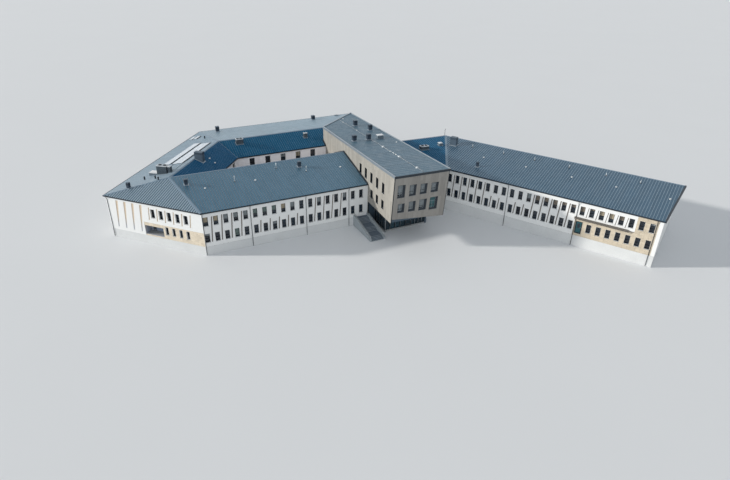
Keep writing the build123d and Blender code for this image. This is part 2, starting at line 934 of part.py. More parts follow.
def porch():
    """The recess behind the opening in the west end wall, with a glazed back."""
    start = porch_middle - porch_width / 2
    outside = block(
        west_end, start - porch_wall, wall,
        porch_width + 2 * porch_wall, porch_depth + porch_wall,
        wing_floor_height, porch_head + porch_wall
    )
    inside = block(
        west_end, start, wall - CUT_MARGIN, porch_width, porch_depth + CUT_MARGIN,
        wing_floor_height, porch_head
    )
    window = block(
        west_end, start + porch_glass_margin, wall, porch_width - 2 * porch_glass_margin,
        2 * porch_depth, wing_floor_height + porch_wall, porch_head - porch_wall
    )
    pieces["porch"] = outside - inside - window
    return block(
        west_end, start + porch_glass_margin - glass, wall + porch_depth + porch_wall,
        porch_width - 2 * porch_glass_margin + 2 * glass, glass,
        wing_floor_height + porch_wall - glass, porch_head - porch_wall + glass
    )


def grid(base, start, bays, bay, low, high, rails):
    """A glazing frame: posts at every bay, with a rail at each given height."""
    length = bays * bay
    piece = block(base, start, 0, length, frame_depth, low, high)
    levels = [low] + rails + [high - frame_bar]
    panes = []
    for index in range(bays):
        for lower_rail, upper_rail in zip(levels, levels[1:]):
            panes.append(block(
                base, start + index * bay + frame_bar / 2, -CUT_MARGIN, bay - frame_bar,
                frame_depth + 2 * CUT_MARGIN, lower_rail + frame_bar, upper_rail
            ))
    return piece - panes


def hinged_leaf(base, start, depth, width, low):
    """A door leaf with a pivot pin at the top and at the bottom of its hinge edge."""
    leaf = block(base, start, depth - door_thickness / 2, width, door_thickness, low, low + door_height)
    pivot = along(base, start + door_thickness / 2) + left_of(base[1]) * depth
    pin_length = door_gap + pin_depth
    for pin_low in (low - pin_length, low + door_height - pin_depth):
        leaf = leaf + pin(pivot, pin_low, pin_radius, pin_length + pin_depth)
    return leaf, pivot


def pin(point, low, radius, height):
    return extrude(Pos(point.X, point.Y, low) * Circle(radius), amount=height)


def door_portal(base, start, width, depth_from, depth, low, frame):
    """A door frame with its sill, head and the pivot sockets."""
    high = low + 2 * frame + 2 * door_gap + door_height
    outside = block(base, start, depth_from, width, depth, low, high)
    clear = block(
        base, start + frame, depth_from - CUT_MARGIN, width - 2 * frame,
        depth + 2 * CUT_MARGIN, low + frame, high - frame
    )
    return outside - clear


def socket_cuts(pivot, leaf_low):
    radius = pin_radius + pin_clearance
    depth = pin_depth + socket_floor
    bottom = pin(pivot, leaf_low - door_gap - depth, radius, depth + socket_overcut)
    top = pin(pivot, leaf_low + door_height + door_gap - socket_overcut, radius, depth + socket_overcut)
    return [bottom, top]


def entrance():
    """Glazed screen under the bar, with its hinged door and a slim post at the corner."""
    low = slab
    high = bar_underside
    sheet_low = low + frame_bar / 2
    sheet_high = high - frame_bar / 2
    right_limit = distance_along(storefront, meet(storefront, moved(bar_right, wall)))
    door_start = left_bays * left_bay
    right_start = door_start + door_bay
    right_bay = (right_limit - right_start) / right_bays
    portal = door_portal(storefront, door_start, door_bay, 0, frame_depth, low, frame_bar)
    portal_high = low + 2 * frame_bar + 2 * door_gap + door_height
    rail = portal_high - frame_bar
    screens = [
        grid(storefront, 0, left_bays, left_bay, low, high, [rail]),
        grid(storefront, right_start, right_bays, right_bay, low, high, [rail]),
    ]
    leaf_low = low + frame_bar + door_gap
    leaf_width = door_bay - 2 * frame_bar - 2 * door_gap
    leaf, pivot = hinged_leaf(
        storefront, door_start + frame_bar + door_gap, frame_depth / 2, leaf_width, leaf_low
    )
    transom = grid(storefront, door_start, 1, door_bay, rail, high, [])
    pieces["entrance_door_frame"] = (portal + transom) - socket_cuts(pivot, leaf_low)
    pieces["entrance_door"] = leaf

    side_length = storefront_setback - frame_depth - corner_gap
    side_bay = side_length / side_bays
    screens.append(grid(storefront_side, 0, side_bays, side_bay, low, high, [rail]))
    pieces["storefront_frames"] = screens
    return_wall = prism(
        [
            bar_point(wall, 0),
            bar_point(storefront_side_recess, 0),
            bar_point(storefront_side_recess, wall),
            bar_point(wall, wall),
        ],
        0, bar_underside
    )
    far_wall = prism(
        [
            meet(storefront, bar_right),
            bar_point(bar_width, 0),
            bar_point(bar_width - wall, 0),
            meet(storefront, moved(bar_right, wall)),
        ],
        0, bar_underside
    )
    pieces["bar_lower_walls"] = [return_wall, far_wall]
    post_point = storefront[0] - left_of(storefront[1]) * post_offset
    pieces["entrance_post"] = pin(post_point, 0, post_radius, bar_underside)
    lap = frame_bar / 2
    left_start = frame_depth + glass + corner_gap
    left_sheet = block(
        storefront, left_start, frame_depth, door_start - left_start, glass, sheet_low, sheet_high
    )
    over_sheet = block(
        storefront, door_start + lap, frame_depth, door_bay - 2 * lap, glass,
        portal_high + lap, sheet_high
    )
    right_sheet = block(
        storefront, right_start + lap, frame_depth, right_limit - right_start - 2 * lap, glass,
        sheet_low, sheet_high
    )
    side_sheet_piece = block(
        storefront_side, lap, frame_depth, side_length - 2 * lap, glass, sheet_low, sheet_high
    )
    return [left_sheet, over_sheet, right_sheet, side_sheet_piece]


def side_door():
    """The outside door of the right wing, in its own frame."""
    start = side_door_centre - side_door_opening / 2
    low = right_floor_height
    frame = side_door_frame
    portal = door_portal(right, start, side_door_opening, 0, wall, low, frame)
    leaf_low = low + frame + door_gap
    leaf_width = side_door_opening - 2 * frame - 2 * door_gap
    leaf, pivot = hinged_leaf(right, start + frame + door_gap, door_thickness, leaf_width, leaf_low)
    pieces["side_door_frame"] = portal - socket_cuts(pivot, leaf_low)
    pieces["side_door"] = leaf


def stair():
    """Outside stair: a top landing, then three short flights with rests between them."""
    riser = stair_top / sum(stair_flights)
    treads = [(stair_landing, stair_top)]
    height = stair_top
    for flight_index, steps in enumerate(stair_flights):
        for step in range(steps):
            height = height - riser
            last_step = step == steps - 1
            last_flight = flight_index == len(stair_flights) - 1
            if last_step and last_flight:
                break
            treads.append((stair_rest if last_step else stair_going, height))
    inner_width = stair_width - 2 * parapet
    flight = None
    depth = 0
    heights = []
    for going, height in treads:
        tread = block(front, stair_start + parapet, -depth - going, inner_width, going, 0, height)
        flight = tread if flight is None else flight + tread
        heights.append((depth, height))
        depth = depth + going
    pieces["stair"] = flight
    profile = [
        (0, 0),
        (0, stair_top + parapet_rise),
        (stair_landing, stair_top + parapet_rise),
        (depth, parapet_rise + riser),
        (depth, 0),
    ]
    walls = []
    for start in (stair_start, stair_start + stair_width - parapet):
        base = along(front, start)
        out = left_of(front_angle) * -1
        points = [at_height(base + out * distance, height) for distance, height in profile]
        face = Face(Wire.make_polygon(points, close=True))
        run = unit(front_angle)
        walls.append(extrude(face, amount=parapet, dir=(run.X, run.Y, 0)))
    pieces["stair_walls"] = walls


roof_ways = {
    "front": (front, front_slope),
    "hip": (west_end, hip_slope),
    "west": (west, west_slope),
    "west_court": (west_court, west_court_slope),
    "back": (back, back_slope),
    "back_court": (back_court, back_court_slope),
    "right": (right, right_slope),
    "link": (link, link_slope),
    "bar": (line(front_end, bar_across), bar_slope),
}


def on_roof(way, start, back_distance, length, width, height):
    """A box that stands on a roof slope, cut to the slope underneath."""
    base, plane = roof_ways[way]
    middle = along(base, start) + left_of(base[1]) * back_distance
    box = block(
        base, start - length / 2, back_distance - width / 2, length, width, 0, plane(middle) + height
    )
    return box & space_above(plane)


def panel(start, back_distance, length, width):
    """A row of solar panels that lies on the west roof."""
    base, plane = roof_ways["west"]
    box = block(base, start, back_distance, length, width, 0, TALL)
    return (box & space_above(plane)) - space_above(plane, -panel_height)


def roof_things():
    """Chimneys, plant boxes and solar panels."""
    pieces["chimneys"] = [on_roof(*chimney) for chimney in chimneys]
    pieces["roof_boxes"] = [on_roof(*box) for box in roof_boxes]
    pieces["solar_panels"] = [panel(*panel_row) for panel_row in panel_rows]


def write_parts():
    """Writes every piece with the middle of the whole building's base at the origin."""
    solids = {
        name: piece if isinstance(piece, list) else piece.solids()
        for name, piece in pieces.items()
    }
    everything = Compound(children=[solid for group in solids.values() for solid in group])
    box = everything.bounding_box()
    everything.children = []
    shift = Location((-(box.min.X + box.max.X) / 2, -(box.min.Y + box.max.Y) / 2, -box.min.Z))
    os.makedirs("parts", exist_ok=True)
    for name, group in solids.items():
        placed = [shift * solid for solid in group]
        export_step(placed[0] if len(placed) == 1 else Compound(placed), f"parts/{name}.step")


for build in (wing_walls, right_walls, roofs, bar_walls, floors, window_glass, bar_window_glass):
    build()
porch_sheet = porch()
entrance_sheets = entrance()
side_door()
stair()
roof_things()
pieces["entrance_glass"] = entrance_sheets + [porch_sheet]
write_parts()
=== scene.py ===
import bmesh
import bpy
import math
import random
from collections import namedtuple
from mathutils import Matrix, Vector
from mathutils.geometry import delaunay_2d_cdt


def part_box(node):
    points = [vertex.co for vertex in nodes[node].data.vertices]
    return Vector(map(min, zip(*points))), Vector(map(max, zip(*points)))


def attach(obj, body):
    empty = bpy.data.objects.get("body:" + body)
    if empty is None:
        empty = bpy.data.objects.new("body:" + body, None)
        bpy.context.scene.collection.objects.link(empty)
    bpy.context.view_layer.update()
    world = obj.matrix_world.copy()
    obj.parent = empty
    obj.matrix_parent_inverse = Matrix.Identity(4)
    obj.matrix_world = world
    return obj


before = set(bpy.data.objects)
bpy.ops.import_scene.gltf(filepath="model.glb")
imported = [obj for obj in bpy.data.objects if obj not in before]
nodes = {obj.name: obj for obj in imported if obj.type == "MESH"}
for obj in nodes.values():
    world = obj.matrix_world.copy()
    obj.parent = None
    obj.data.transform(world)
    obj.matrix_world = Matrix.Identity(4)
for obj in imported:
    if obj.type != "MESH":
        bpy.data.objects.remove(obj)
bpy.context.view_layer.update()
chance = random.Random(11)

# Plan sizes in millimetres and degrees, the same as the solids. The frame is in metres.
MM = 0.001
front_angle, west_end_angle, west_angle, back_angle = 26.6, 160.65, 79.8, 27.2
bar_angle, right_angle, right_verge_angle, back_end_angle = 113.5, -34.04, 52.5, 93
across_angle = bar_angle - 90
front_length, west_end_length, west_length = 3593, 2300, 4360
right_length, link_length, bar_width = 4590, 752, 1233
bar_reach, bar_left_back, bar_right_back = 1306, 2935, 4132
front_ridge, front_depth = 1435, 2065
west_ridge, west_depth = 1140, 1750
back_ridge, back_depth = 1755, 2400
right_ridge, right_depth = 1490, 2120
eave, ridge, right_eave, right_peak_height = 947, 1207, 1030, 1270
bar_top, bar_fall, bar_lean = 1588, 0.0515, math.tan(math.radians(5.7))
bar_under, skirt_left, skirt_right = 530, 622, 510
wall, overhang, gable_overhang, bar_overhang, plate = 40, 25, 35, 10, 30


def unit(angle):
    return Vector((math.cos(math.radians(angle)), math.sin(math.radians(angle))))


def left_of(angle):
    return unit(angle + 90)


def moved(base, distance):
    return (base[0] + left_of(base[1]) * distance, base[1])


def turned(base):
    return (base[0], base[1] + 180)


def along(base, distance):
    return base[0] + unit(base[1]) * distance


def meet(first, second):
    """The plan point where two lines cross; a line is a point and an angle."""
    toward, across = unit(first[1]), left_of(second[1])
    return first[0] + toward * ((second[0] - first[0]).dot(across) / toward.dot(across))


def distance_along(base, point):
    return (point - base[0]).dot(unit(base[1]))


def span(base, before, after):
    """Where two lines cross a wall, as distances along it."""
    return sorted(distance_along(base, meet(base, other)) for other in (before, after))


# Outer lines of the walls, each with its building on the left
front = (Vector((0, 0)), front_angle)
front_end = along(front, front_length)


def bar_point(side, reach):
    """A plan point of the raised bar, by its side and its reach back from the front wall."""
    return front_end + unit(across_angle) * side + unit(bar_angle) * reach


west_end = (unit(west_end_angle) * west_end_length, west_end_angle + 180)
west_far = west_end[0] + unit(west_angle) * west_length
west = (west_far, west_angle + 180)
bar_left = (front_end, bar_angle + 180)
bar_right = (bar_point(bar_width, 0), bar_angle)
bar_side = turned(bar_left)
bar_back_left = bar_point(0, bar_left_back)
bar_back_right = bar_point(bar_width, bar_right_back)
back_gap = bar_back_left - bar_back_right
bar_back = (bar_back_right, math.degrees(math.atan2(back_gap.y, back_gap.x)))
back_end = (bar_back_right, back_end_angle)
back = (meet((west_far, back_angle), back_end), back_angle + 180)
link = (bar_point(bar_width + link_length, 0), across_angle)
right = (link[0], right_angle)
gable = (along(right, right_length), right_angle + 90)
front_court = turned(moved(front, front_depth))
west_court = turned(moved(west, west_depth))
back_court = turned(moved(back, back_depth))
right_rear = turned(moved(right, right_depth))
link_rear = turned(moved(link, right_depth))
eaves = {name: moved(base, -overhang) for name, base in {
    "front": front, "hip": west_end, "west": west, "back": back, "front_court": front_court,
    "west_court": west_court, "back_court": back_court, "right": right, "link": link,
    "right_rear": right_rear, "link_rear": link_rear,
}.items()}
gable_edge = moved(gable, -gable_overhang)
back_end_edge = moved(back_end, -overhang)


def eave_corner(first, second):
    return meet(eaves[first], eaves[second])


# Corners of the roof slopes
front_top, west_top, back_top = moved(front, front_ridge), moved(west, west_ridge), moved(back, back_ridge)
right_top, link_top = moved(right, right_ridge), moved(link, right_ridge)
west_peak, north_peak = meet(front_top, west_top), meet(west_top, back_top)
front_peak, back_peak = meet(front_top, bar_side), meet(back_top, bar_back)
right_peak, link_peak = meet(right_top, link_top), meet(link_top, bar_right)
front_corner, west_corner = eave_corner("front", "hip"), eave_corner("hip", "west")
north_corner, court_corner = eave_corner("west", "back"), eave_corner("front_court", "west_court")
court_back_corner = eave_corner("west_court", "back_court")
right_corner, rear_corner = eave_corner("right", "link"), eave_corner("right_rear", "link_rear")
right_verge = (meet(eaves["right"], gable_edge), right_verge_angle)
verge_peak, rear_verge = meet(right_top, right_verge), meet(eaves["right_rear"], gable_edge)
back_end_high, back_end_low = meet(bar_back, back_end_edge), meet(eaves["back"], back_end_edge)
front_at_bar, court_at_bar = meet(eaves["front"], bar_side), meet(eaves["front_court"], bar_side)
back_court_at_bar = meet(eaves["back_court"], bar_side)
link_at_bar, link_rear_at_bar = meet(eaves["link"], bar_right), meet(eaves["link_rear"], bar_right)
bar_rim = [
    moved(bar_left, -bar_overhang), (bar_point(0, -bar_reach - bar_overhang), across_angle),
    moved(bar_right, -bar_overhang), moved(bar_back, -bar_overhang),
]
bar_corners = [meet(bar_rim[index - 1], bar_rim[index]) for index in range(4)]
roofs = {
    "front": [front_corner, front_at_bar, front_peak, west_peak],
    "front_court": [west_peak, front_peak, court_at_bar, court_corner],
    "hip": [front_corner, west_peak, west_corner],
    "west": [west_corner, west_peak, north_peak, north_corner],
    "west_court": [west_peak, court_corner, court_back_corner, north_peak],
    "back_court": [north_peak, court_back_corner, back_court_at_bar, bar_back_left, back_peak],
    "back": [north_corner, north_peak, back_peak, back_end_high, back_end_low],
    "right": [right_corner, right_verge[0], verge_peak, right_peak],
    "right_rear": [right_peak, verge_peak, rear_verge, rear_corner],
    "link": [right_corner, right_peak, link_peak, link_at_bar],
    "link_rear": [right_peak, rear_corner, link_rear_at_bar, link_peak],
}


def slope(name, low, run, high):
    """Height of a roof slope over a plan point."""
    start, angle = eaves[name]
    return lambda point: low + (high - low) / run * (point - start).dot(left_of(angle))


def bar_slope(point):
    return bar_top - bar_fall * ((point - front_end).dot(unit(bar_angle)) + bar_reach)


hip_run = (west_peak - eaves["hip"][0]).dot(left_of(west_end[1]))
slopes = {"hip": slope("hip", eave, hip_run, ridge)}
for name, top_line, depth in (
    ("front", front_ridge, front_depth), ("west", west_ridge, west_depth), ("back", back_ridge, back_depth),
):
    slopes[name] = slope(name, eave, top_line + overhang, ridge)
    slopes[name + "_court"] = slope(name + "_court", eave, depth - top_line + overhang, ridge)
rear_run = right_depth - right_ridge + overhang
for name in ("right", "link"):
    slopes[name] = slope(name, right_eave, right_ridge + overhang, right_peak_height)
    slopes[name + "_rear"] = slope(name + "_rear", right_eave, rear_run, right_peak_height)

# The plan's place in the frame, from a roof whose outline is known
west_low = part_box("west_roof")[0]
CENTRE = Vector((
    west_low.x - min(point.x for point in roofs["west"]) * MM,
    west_low.y - min(point.y for point in roofs["west"]) * MM,
))


def to_frame(point, height):
    return Vector((point.x * MM + CENTRE.x, point.y * MM + CENTRE.y, height * MM))


def on_line(base):
    """Places distance along, distance out and height on a plan line."""
    return lambda s, out, z: to_frame(base[0] + unit(base[1]) * s - left_of(base[1]) * out, z)


def on_face(s, out, z):
    """Places on the leaning front of the bar."""
    return to_frame(bar_point(s, -bar_reach + (bar_top - z) * bar_lean - out), z)


def on_slope(name):
    """Places on a roof slope: along its wall line, back from the wall, and height above the sheet."""
    base = moved(eaves[name], overhang)

    def place(s, back_distance, lift):
        point = along(base, s) + left_of(base[1]) * back_distance
        return to_frame(point, slopes[name](point) + lift)
    return place


def on_bar(s, reach, lift):
    """Places on the roof of the raised bar, by its side and reach."""
    point = bar_point(s, reach)
    return to_frame(point, bar_slope(point) + lift)


def rectangle(a0, a1, b0, b1):
    return [(a0, b0), (a1, b0), (a1, b1), (a0, b1)]


def circle(sides):
    return [2 * math.pi * step / sides for step in range(sides)]


class Shape:
    """Gathers faces and becomes one object."""

    def __init__(self):
        self.points = []
        self.faces = []
        self.smooth = []

    def add(self, points, faces, smooth=False):
        start = len(self.points)
        self.points.extend(points)
        self.faces.extend([[start + index for index in face] for face in faces])
        self.smooth.extend([smooth] * len(faces))

    def loft(self, rings, smooth=False):
        """Closed rings of equal length, joined one to the next, with flat ends."""
        start, size = len(self.points), len(rings[0])
        last = start + size * (len(rings) - 1)
        sides = []
        for low in range(0, size * (len(rings) - 1), size):
            for index in range(size):
                after = (index + 1) % size
                sides.append((low + index, low + after, low + size + after, low + size + index))
        self.add([point for ring in rings for point in ring], sides, smooth)
        self.faces += [list(range(start, start + size))[::-1], list(range(last, last + size))]
        self.smooth += [False, False]

    def bar(self, place, s0, s1, profile):
        """A profile of (out, height) drawn from s0 to s1."""
        self.loft([[place(s, out, z) for out, z in profile] for s in (s0, s1)])

    def cell(self, place, s0, s1, o0, o1, z0, z1):
        self.bar(place, s0, s1, rectangle(o0, o1, z0, z1))

    def window_bars(self, place, s0, s1, z0, z1, width, o0, o1):
        """Four bars round a rectangle."""
        for start in (s0, s1 - width):
            self.cell(place, start, start + width, o0, o1, z0, z1)
        for low in (z0, z1 - width):
            self.cell(place, s0 + width, s1 - width, o0, o1, low, low + width)

    def tube(self, path, radius, sides=8):
        """A round tube along points in the frame; one radius in millimetres, or one for each point."""
        rings = []
        for index, point in enumerate(path):
            before = path[max(index - 1, 0)]
            after = path[min(index + 1, len(path) - 1)]
            way = (after - before).normalized()
            side = way.cross(Vector((0, 0, 1)))
            if side.length < 0.01:
                side = Vector((1, 0, 0))
            side.normalize()
            up = side.cross(way).normalized()
            size = radius[index] if isinstance(radius, list) else radius
            rings.append([
                point + (side * math.cos(turn) + up * math.sin(turn)) * size * MM for turn in circle(sides)
            ])
        self.loft(rings, smooth=True)

    def turn(self, centre, profile, sides=16):
        """A round form: rings of (radius, height above centre) in millimetres."""
        self.loft([
            [centre + Vector((math.cos(turn) * radius, math.sin(turn) * radius, height)) * MM
             for turn in circle(sides)]
            for radius, height in profile
        ], smooth=True)

    def make(self, name, material, slot, body="building"):
        mesh = bpy.data.meshes.new(name)
        mesh.from_pydata(self.points, [], self.faces)
        mesh.polygons.foreach_set("use_smooth", self.smooth)
        sheet = bmesh.new()
        sheet.from_mesh(mesh)
        bmesh.ops.recalc_face_normals(sheet, faces=sheet.faces)
        sheet.to_mesh(mesh)
        sheet.free()
        mesh.materials.append(material)
        piece = bpy.data.objects.new(name, mesh)
        bpy.context.scene.collection.objects.link(piece)
        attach(piece, body)


# Materials
SEAM_PITCH, LAP_PITCH, SHEET_LENGTH, SOLAR_CELL = 55, 105, 620, 16
Bond = namedtuple("Bond", "pitch joint gap upright")
STONE, BOARD, NARROW_BOARD = Bond(90, 45, 1.4, False), Bond(60, 450, 1.6, True), Bond(10.6, 450, 0, True)


def rgb(red, green, blue):
    """A colour written in screen values, as linear values."""
    values = [channel / 255 for channel in (red, green, blue)]
    return tuple(v / 12.92 if v <= 0.04045 else ((v + 0.055) / 1.055) ** 2.4 for v in values) + (1.0,)


class Look:
    """A material and the nodes that make it."""

    def __init__(self, name, roughness, metallic=0.0):
        self.material = bpy.data.materials.new(name)
        self.material.use_nodes = True
        self.tree = self.material.node_tree
        self.shader = self.tree.nodes["Principled BSDF"]
        self.shader.inputs["Roughness"].default_value = roughness
        self.shader.inputs["Metallic"].default_value = metallic
        self.place = self.node("TexCoord").outputs["Object"]

    def node(self, kind, inputs=None, **settings):
        made = self.tree.nodes.new("ShaderNode" + kind)
        for key, value in settings.items():
            setattr(made, key, value)
        for key, value in (inputs or {}).items():
            if isinstance(value, bpy.types.NodeSocket):
                self.tree.links.new(value, made.inputs[key])
            else:
                made.inputs[key].default_value = value
        return made

    def math(self, operation, first, second=0.0):
        return self.node("Math", {0: first, 1: second}, operation=operation).outputs[0]

    def times(self, value, factor):
        return self.math("MULTIPLY", value, factor)

    def counted(self, value, size):
        """How many times a size in millimetres goes into a length in metres."""
        return self.math("DIVIDE", value, size * MM)

    def staggered(self, value, other, shift):
        """A value moved on by a share for each whole number of the other."""
        return self.math("ADD", value, self.times(self.math("FLOOR", other), shift))

    def blend(self, first, second, share):
        return self.math("ADD", self.times(first, share), self.times(second, 1 - share))

    def mix(self, factor, first, second):
        return self.node("Mix", {0: factor, 6: first, 7: second}, data_type="RGBA").outputs[2]

    def noise(self, scale, detail=3.0, stretch=(1, 1, 1)):
        mapped = self.node("Mapping", {"Vector": self.place, "Scale": stretch})
        node = self.node("TexNoise", {"Vector": mapped.outputs[0], "Scale": scale, "Detail": detail})
        return node.outputs[0]

    def ranged(self, value, low, high, first=0.0, last=1.0):
        """Goes from the first to the last value while the given one goes from low to high."""
        return self.node("MapRange", {0: value, 1: low, 2: high, 3: first, 4: last}).outputs[0]

    def distance(self, angle):
        """Distance in metres along a plan direction."""
        way = unit(angle)
        node = self.node("VectorMath", {0: self.place, 1: (way.x, way.y, 0)}, operation="DOT_PRODUCT")
        return node.outputs["Value"]

    def height(self):
        return self.node("SeparateXYZ", {0: self.place}).outputs[2]

    def per_piece(self, *steps):
        """A random value for each whole number of the given values."""
        sockets = {index: self.math("FLOOR", value) for index, value in enumerate(steps)}
        joined = self.node("CombineXYZ", sockets).outputs[0]
        return self.node("TexWhiteNoise", {0: joined}, noise_dimensions="3D").outputs[0]

    def shades(self, colour, amount, factor):
        """The colour, from darker to lighter by the factor."""
        dark = tuple(value * (1 - amount) for value in colour[:3]) + (1.0,)
        light = tuple(min(value * (1 + amount), 1) for value in colour[:3]) + (1.0,)
        return self.mix(factor, dark, light)

    def shine(self, level):
        self.shader.inputs["Specular IOR Level"].default_value = level

    def colour(self, socket):
        self.tree.links.new(socket, self.shader.inputs["Base Color"])

    def bump(self, height, strength, distance):
        node = self.node("Bump", {"Height": height, "Strength": strength, "Distance": distance})
        self.tree.links.new(node.outputs[0], self.shader.inputs["Normal"])

    def rough(self, low, high, factor):
        self.tree.links.new(self.ranged(factor, 0.3, 0.7, low, high), self.shader.inputs["Roughness"])


def plaster(name, colour):
    look = Look(name, 0.85)
    tone = look.shades(colour, 0.06, look.blend(look.noise(1.6, 4), look.noise(22, 3, (1, 1, 0.06)), 0.5))
    foot = look.ranged(look.height(), 0.16, 0.02)
    look.colour(look.mix(look.times(foot, 0.35), tone, rgb(150, 146, 138)))
    look.bump(look.noise(420, 2), 0.25, 0.0006)
    return look.material


def metal(name, colour, roughness=0.42, metallic=0.35):
    look = Look(name, roughness, metallic)
    look.colour(look.shades(colour, 0.12, look.noise(7, 4)))
    look.rough(roughness - 0.07, roughness + 0.1, look.noise(31, 3))
    look.bump(look.noise(60, 2), 0.12, 0.0005)
    return look.material


def roof_sheet(name, key, colour, painted_seam_share, painted_seam_colour, dull):
    """Long sheets, each a little different, with a soft line along each seam that is painted light: painted
    shadow beside the rib where the line is dark, painted highlight where it is light.
    """
    look = Look(name, 0.4, 0.0 if dull else 0.25)
    look.shine(0.12 if dull else 0.4)
    angle = eaves[key][1]
    start = min(point.dot(unit(angle)) for point in roofs[key]) + SEAM_PITCH / 2
    start_in_frame = start * MM + CENTRE.dot(unit(angle))
    sheets = look.counted(look.math("SUBTRACT", look.distance(angle), start_in_frame), SEAM_PITCH)
    rise = look.staggered(look.counted(look.distance(angle + 90), SHEET_LENGTH), sheets, 0.5)
    tone = look.shades(colour, 0.13, look.blend(look.per_piece(sheets, rise), look.noise(2.2, 5), 0.5))
    stain = look.ranged(look.noise(11, 4), 0.6, 0.8)
    worn = look.mix(look.times(stain, 0.12), tone, rgb(150, 156, 160))
    # Soft line at each seam: painted shadow or painted highlight of the rib, in the slope's seam colour
    edge = look.ranged(look.math("PINGPONG", sheets, 0.5), 0.3, 0.1)
    look.colour(look.mix(look.times(edge, painted_seam_share), worn, painted_seam_colour))
    look.rough(0.55 if dull else 0.34, 0.7 if dull else 0.5, look.noise(5, 3))
    look.bump(look.noise(9, 2), 0.3, 0.004)
    return look.material


def membrane(name, colour):
    """Wide sheets laid across the raised bar, each a little different."""
    look = Look(name, 0.5, 0.1)
    strip_tone = look.per_piece(look.counted(look.distance(bar_angle), LAP_PITCH))
    tone = look.shades(colour, 0.16, look.blend(strip_tone, look.noise(3.1, 5), 0.5))
    puddle = look.ranged(look.noise(5.2, 5), 0.56, 0.75)
    look.colour(look.mix(look.times(puddle, 0.2), tone, rgb(146, 156, 164)))
    look.rough(0.4, 0.6, look.noise(8, 3))
    look.bump(look.noise(120, 3), 0.2, 0.0006)
    return look.material


def groove(name, colour, painted_shade_foot, low, high):
    """Plaster in the grooves, going to another tone towards the foot, which is painted shade."""
    look = Look(name, 0.85)
    tone = look.shades(colour, 0.07, look.noise(9, 4))
    look.colour(look.mix(look.ranged(look.height(), high, low), tone, painted_shade_foot))
    look.bump(look.noise(420, 2), 0.25, 0.0006)
    return look.material


def boards(name, colour, angle):
    look = Look(name, 0.68)
    s = look.counted(look.distance(angle), BOARD.pitch)
    level = look.staggered(look.counted(look.height(), BOARD.joint), s, 0.37)
    grain = look.noise(90, 4, (1, 1, 0.12))
    look.colour(look.shades(colour, 0.15, look.blend(look.per_piece(s, level), grain, 0.7)))
    look.bump(grain, 0.3, 0.001)
    return look.material


def stone(name, colour, angle):
    look = Look(name, 0.8)
    level = look.counted(look.height(), STONE.joint)
    s = look.staggered(look.counted(look.distance(angle), STONE.pitch), level, 0.5)
    look.colour(look.shades(colour, 0.16, look.blend(look.per_piece(s, level), look.noise(60, 5), 0.6)))
    look.bump(look.noise(150, 5), 0.5, 0.0012)
    return look.material


def concrete(name, colour):
    look = Look(name, 0.85)
    look.colour(look.shades(colour, 0.16, look.blend(look.noise(4, 5), look.noise(45, 4), 0.5)))
    look.bump(look.noise(190, 4), 0.4, 0.0008)
    return look.material


def dark_glass(name, colour, other):
    look = Look(name, 0.07)
    look.shine(0.62)
    look.colour(look.mix(look.ranged(look.noise(3.1, 2, (1, 1, 0.6)), 0.35, 0.65), colour, other))
    look.bump(look.noise(14, 1), 0.04, 0.002)
    return look.material


def blind(name, colour):
    look = Look(name, 0.6)
    look.colour(look.shades(colour, 0.1, look.noise(18, 3, (1, 1, 0.2))))
    look.bump(look.noise(300, 2), 0.15, 0.0004)
    return look.material


def painted_sky_solar_glass(name, angle):
    """Square cells with light lines between them; the near-white cells are painted sky reflection."""
    look = Look(name, 0.22)
    look.shine(0.7)
    first, second = [
        look.math("PINGPONG", look.math("FRACT", look.counted(look.distance(way), SOLAR_CELL)), 0.5)
        for way in (angle, angle + 90)
    ]
    line = look.ranged(look.math("MINIMUM", first, second), 0.09, 0.03)
    # Near-white cell colour: painted reflection of the sky
    cell = look.shades(rgb(196, 208, 220), 0.08, look.noise(9, 3))
    look.colour(look.mix(line, cell, rgb(226, 231, 235)))
    return look.material


white = plaster("white_render", rgb(226, 227, 226))
# Court walls get a lighter copy of the white render: painted light
court_white_painted_light = plaster("court_render_painted_light", rgb(250, 246, 247))
# Bluish grey in the porch recess: painted shade
porch_painted_shade_grey = plaster("porch_lining_painted_shade", rgb(150, 158, 172))
# Groove grey: partly the grooves' own grey, partly painted shade in the shallow recess
groove_painted_shade_grey = plaster("groove_painted_shade_render", rgb(112, 106, 102))
# West end grooves: beige, partly their own tone and partly painted warm light on their lit sides, with a
# bluish foot that is painted shade
groove_painted_light_and_shade = groove("beige_render", rgb(204, 186, 164), rgb(172, 176, 184), 0.3, 0.52)
plinth_grey = concrete("plinth", rgb(206, 208, 208))
gutter_metal = metal("gutter_metal", rgb(44, 52, 60))
trim_metal = metal("light_trim", rgb(158, 168, 176), 0.35, 0.6)
sill_metal = metal("sill_metal", rgb(124, 131, 137), 0.4, 0.4)
frame_metal = metal("window_frames", rgb(52, 58, 64), 0.45, 0.2)
white_metal = metal("white_metal", rgb(232, 234, 235), 0.45, 0.1)
dark_metal = metal("dark_metal", rgb(36, 45, 53), 0.42, 0.3)
door_teal = metal("door_teal", rgb(36, 84, 92), 0.4, 0.2)
steel = metal("steel", rgb(165, 170, 174), 0.3, 0.9)
mast_metal = metal("mast_metal", rgb(206, 210, 212), 0.35, 0.6)
bar_boards = boards("bar_boards", rgb(141, 138, 133), across_angle)
bar_side_boards = boards("bar_side_boards", rgb(151, 148, 141), bar_angle)
end_stone = stone("end_stone", rgb(212, 200, 180), west_end[1])
right_stone = stone("right_stone", rgb(196, 184, 164), right_angle)
grey_concrete = concrete("concrete", rgb(146, 148, 148))
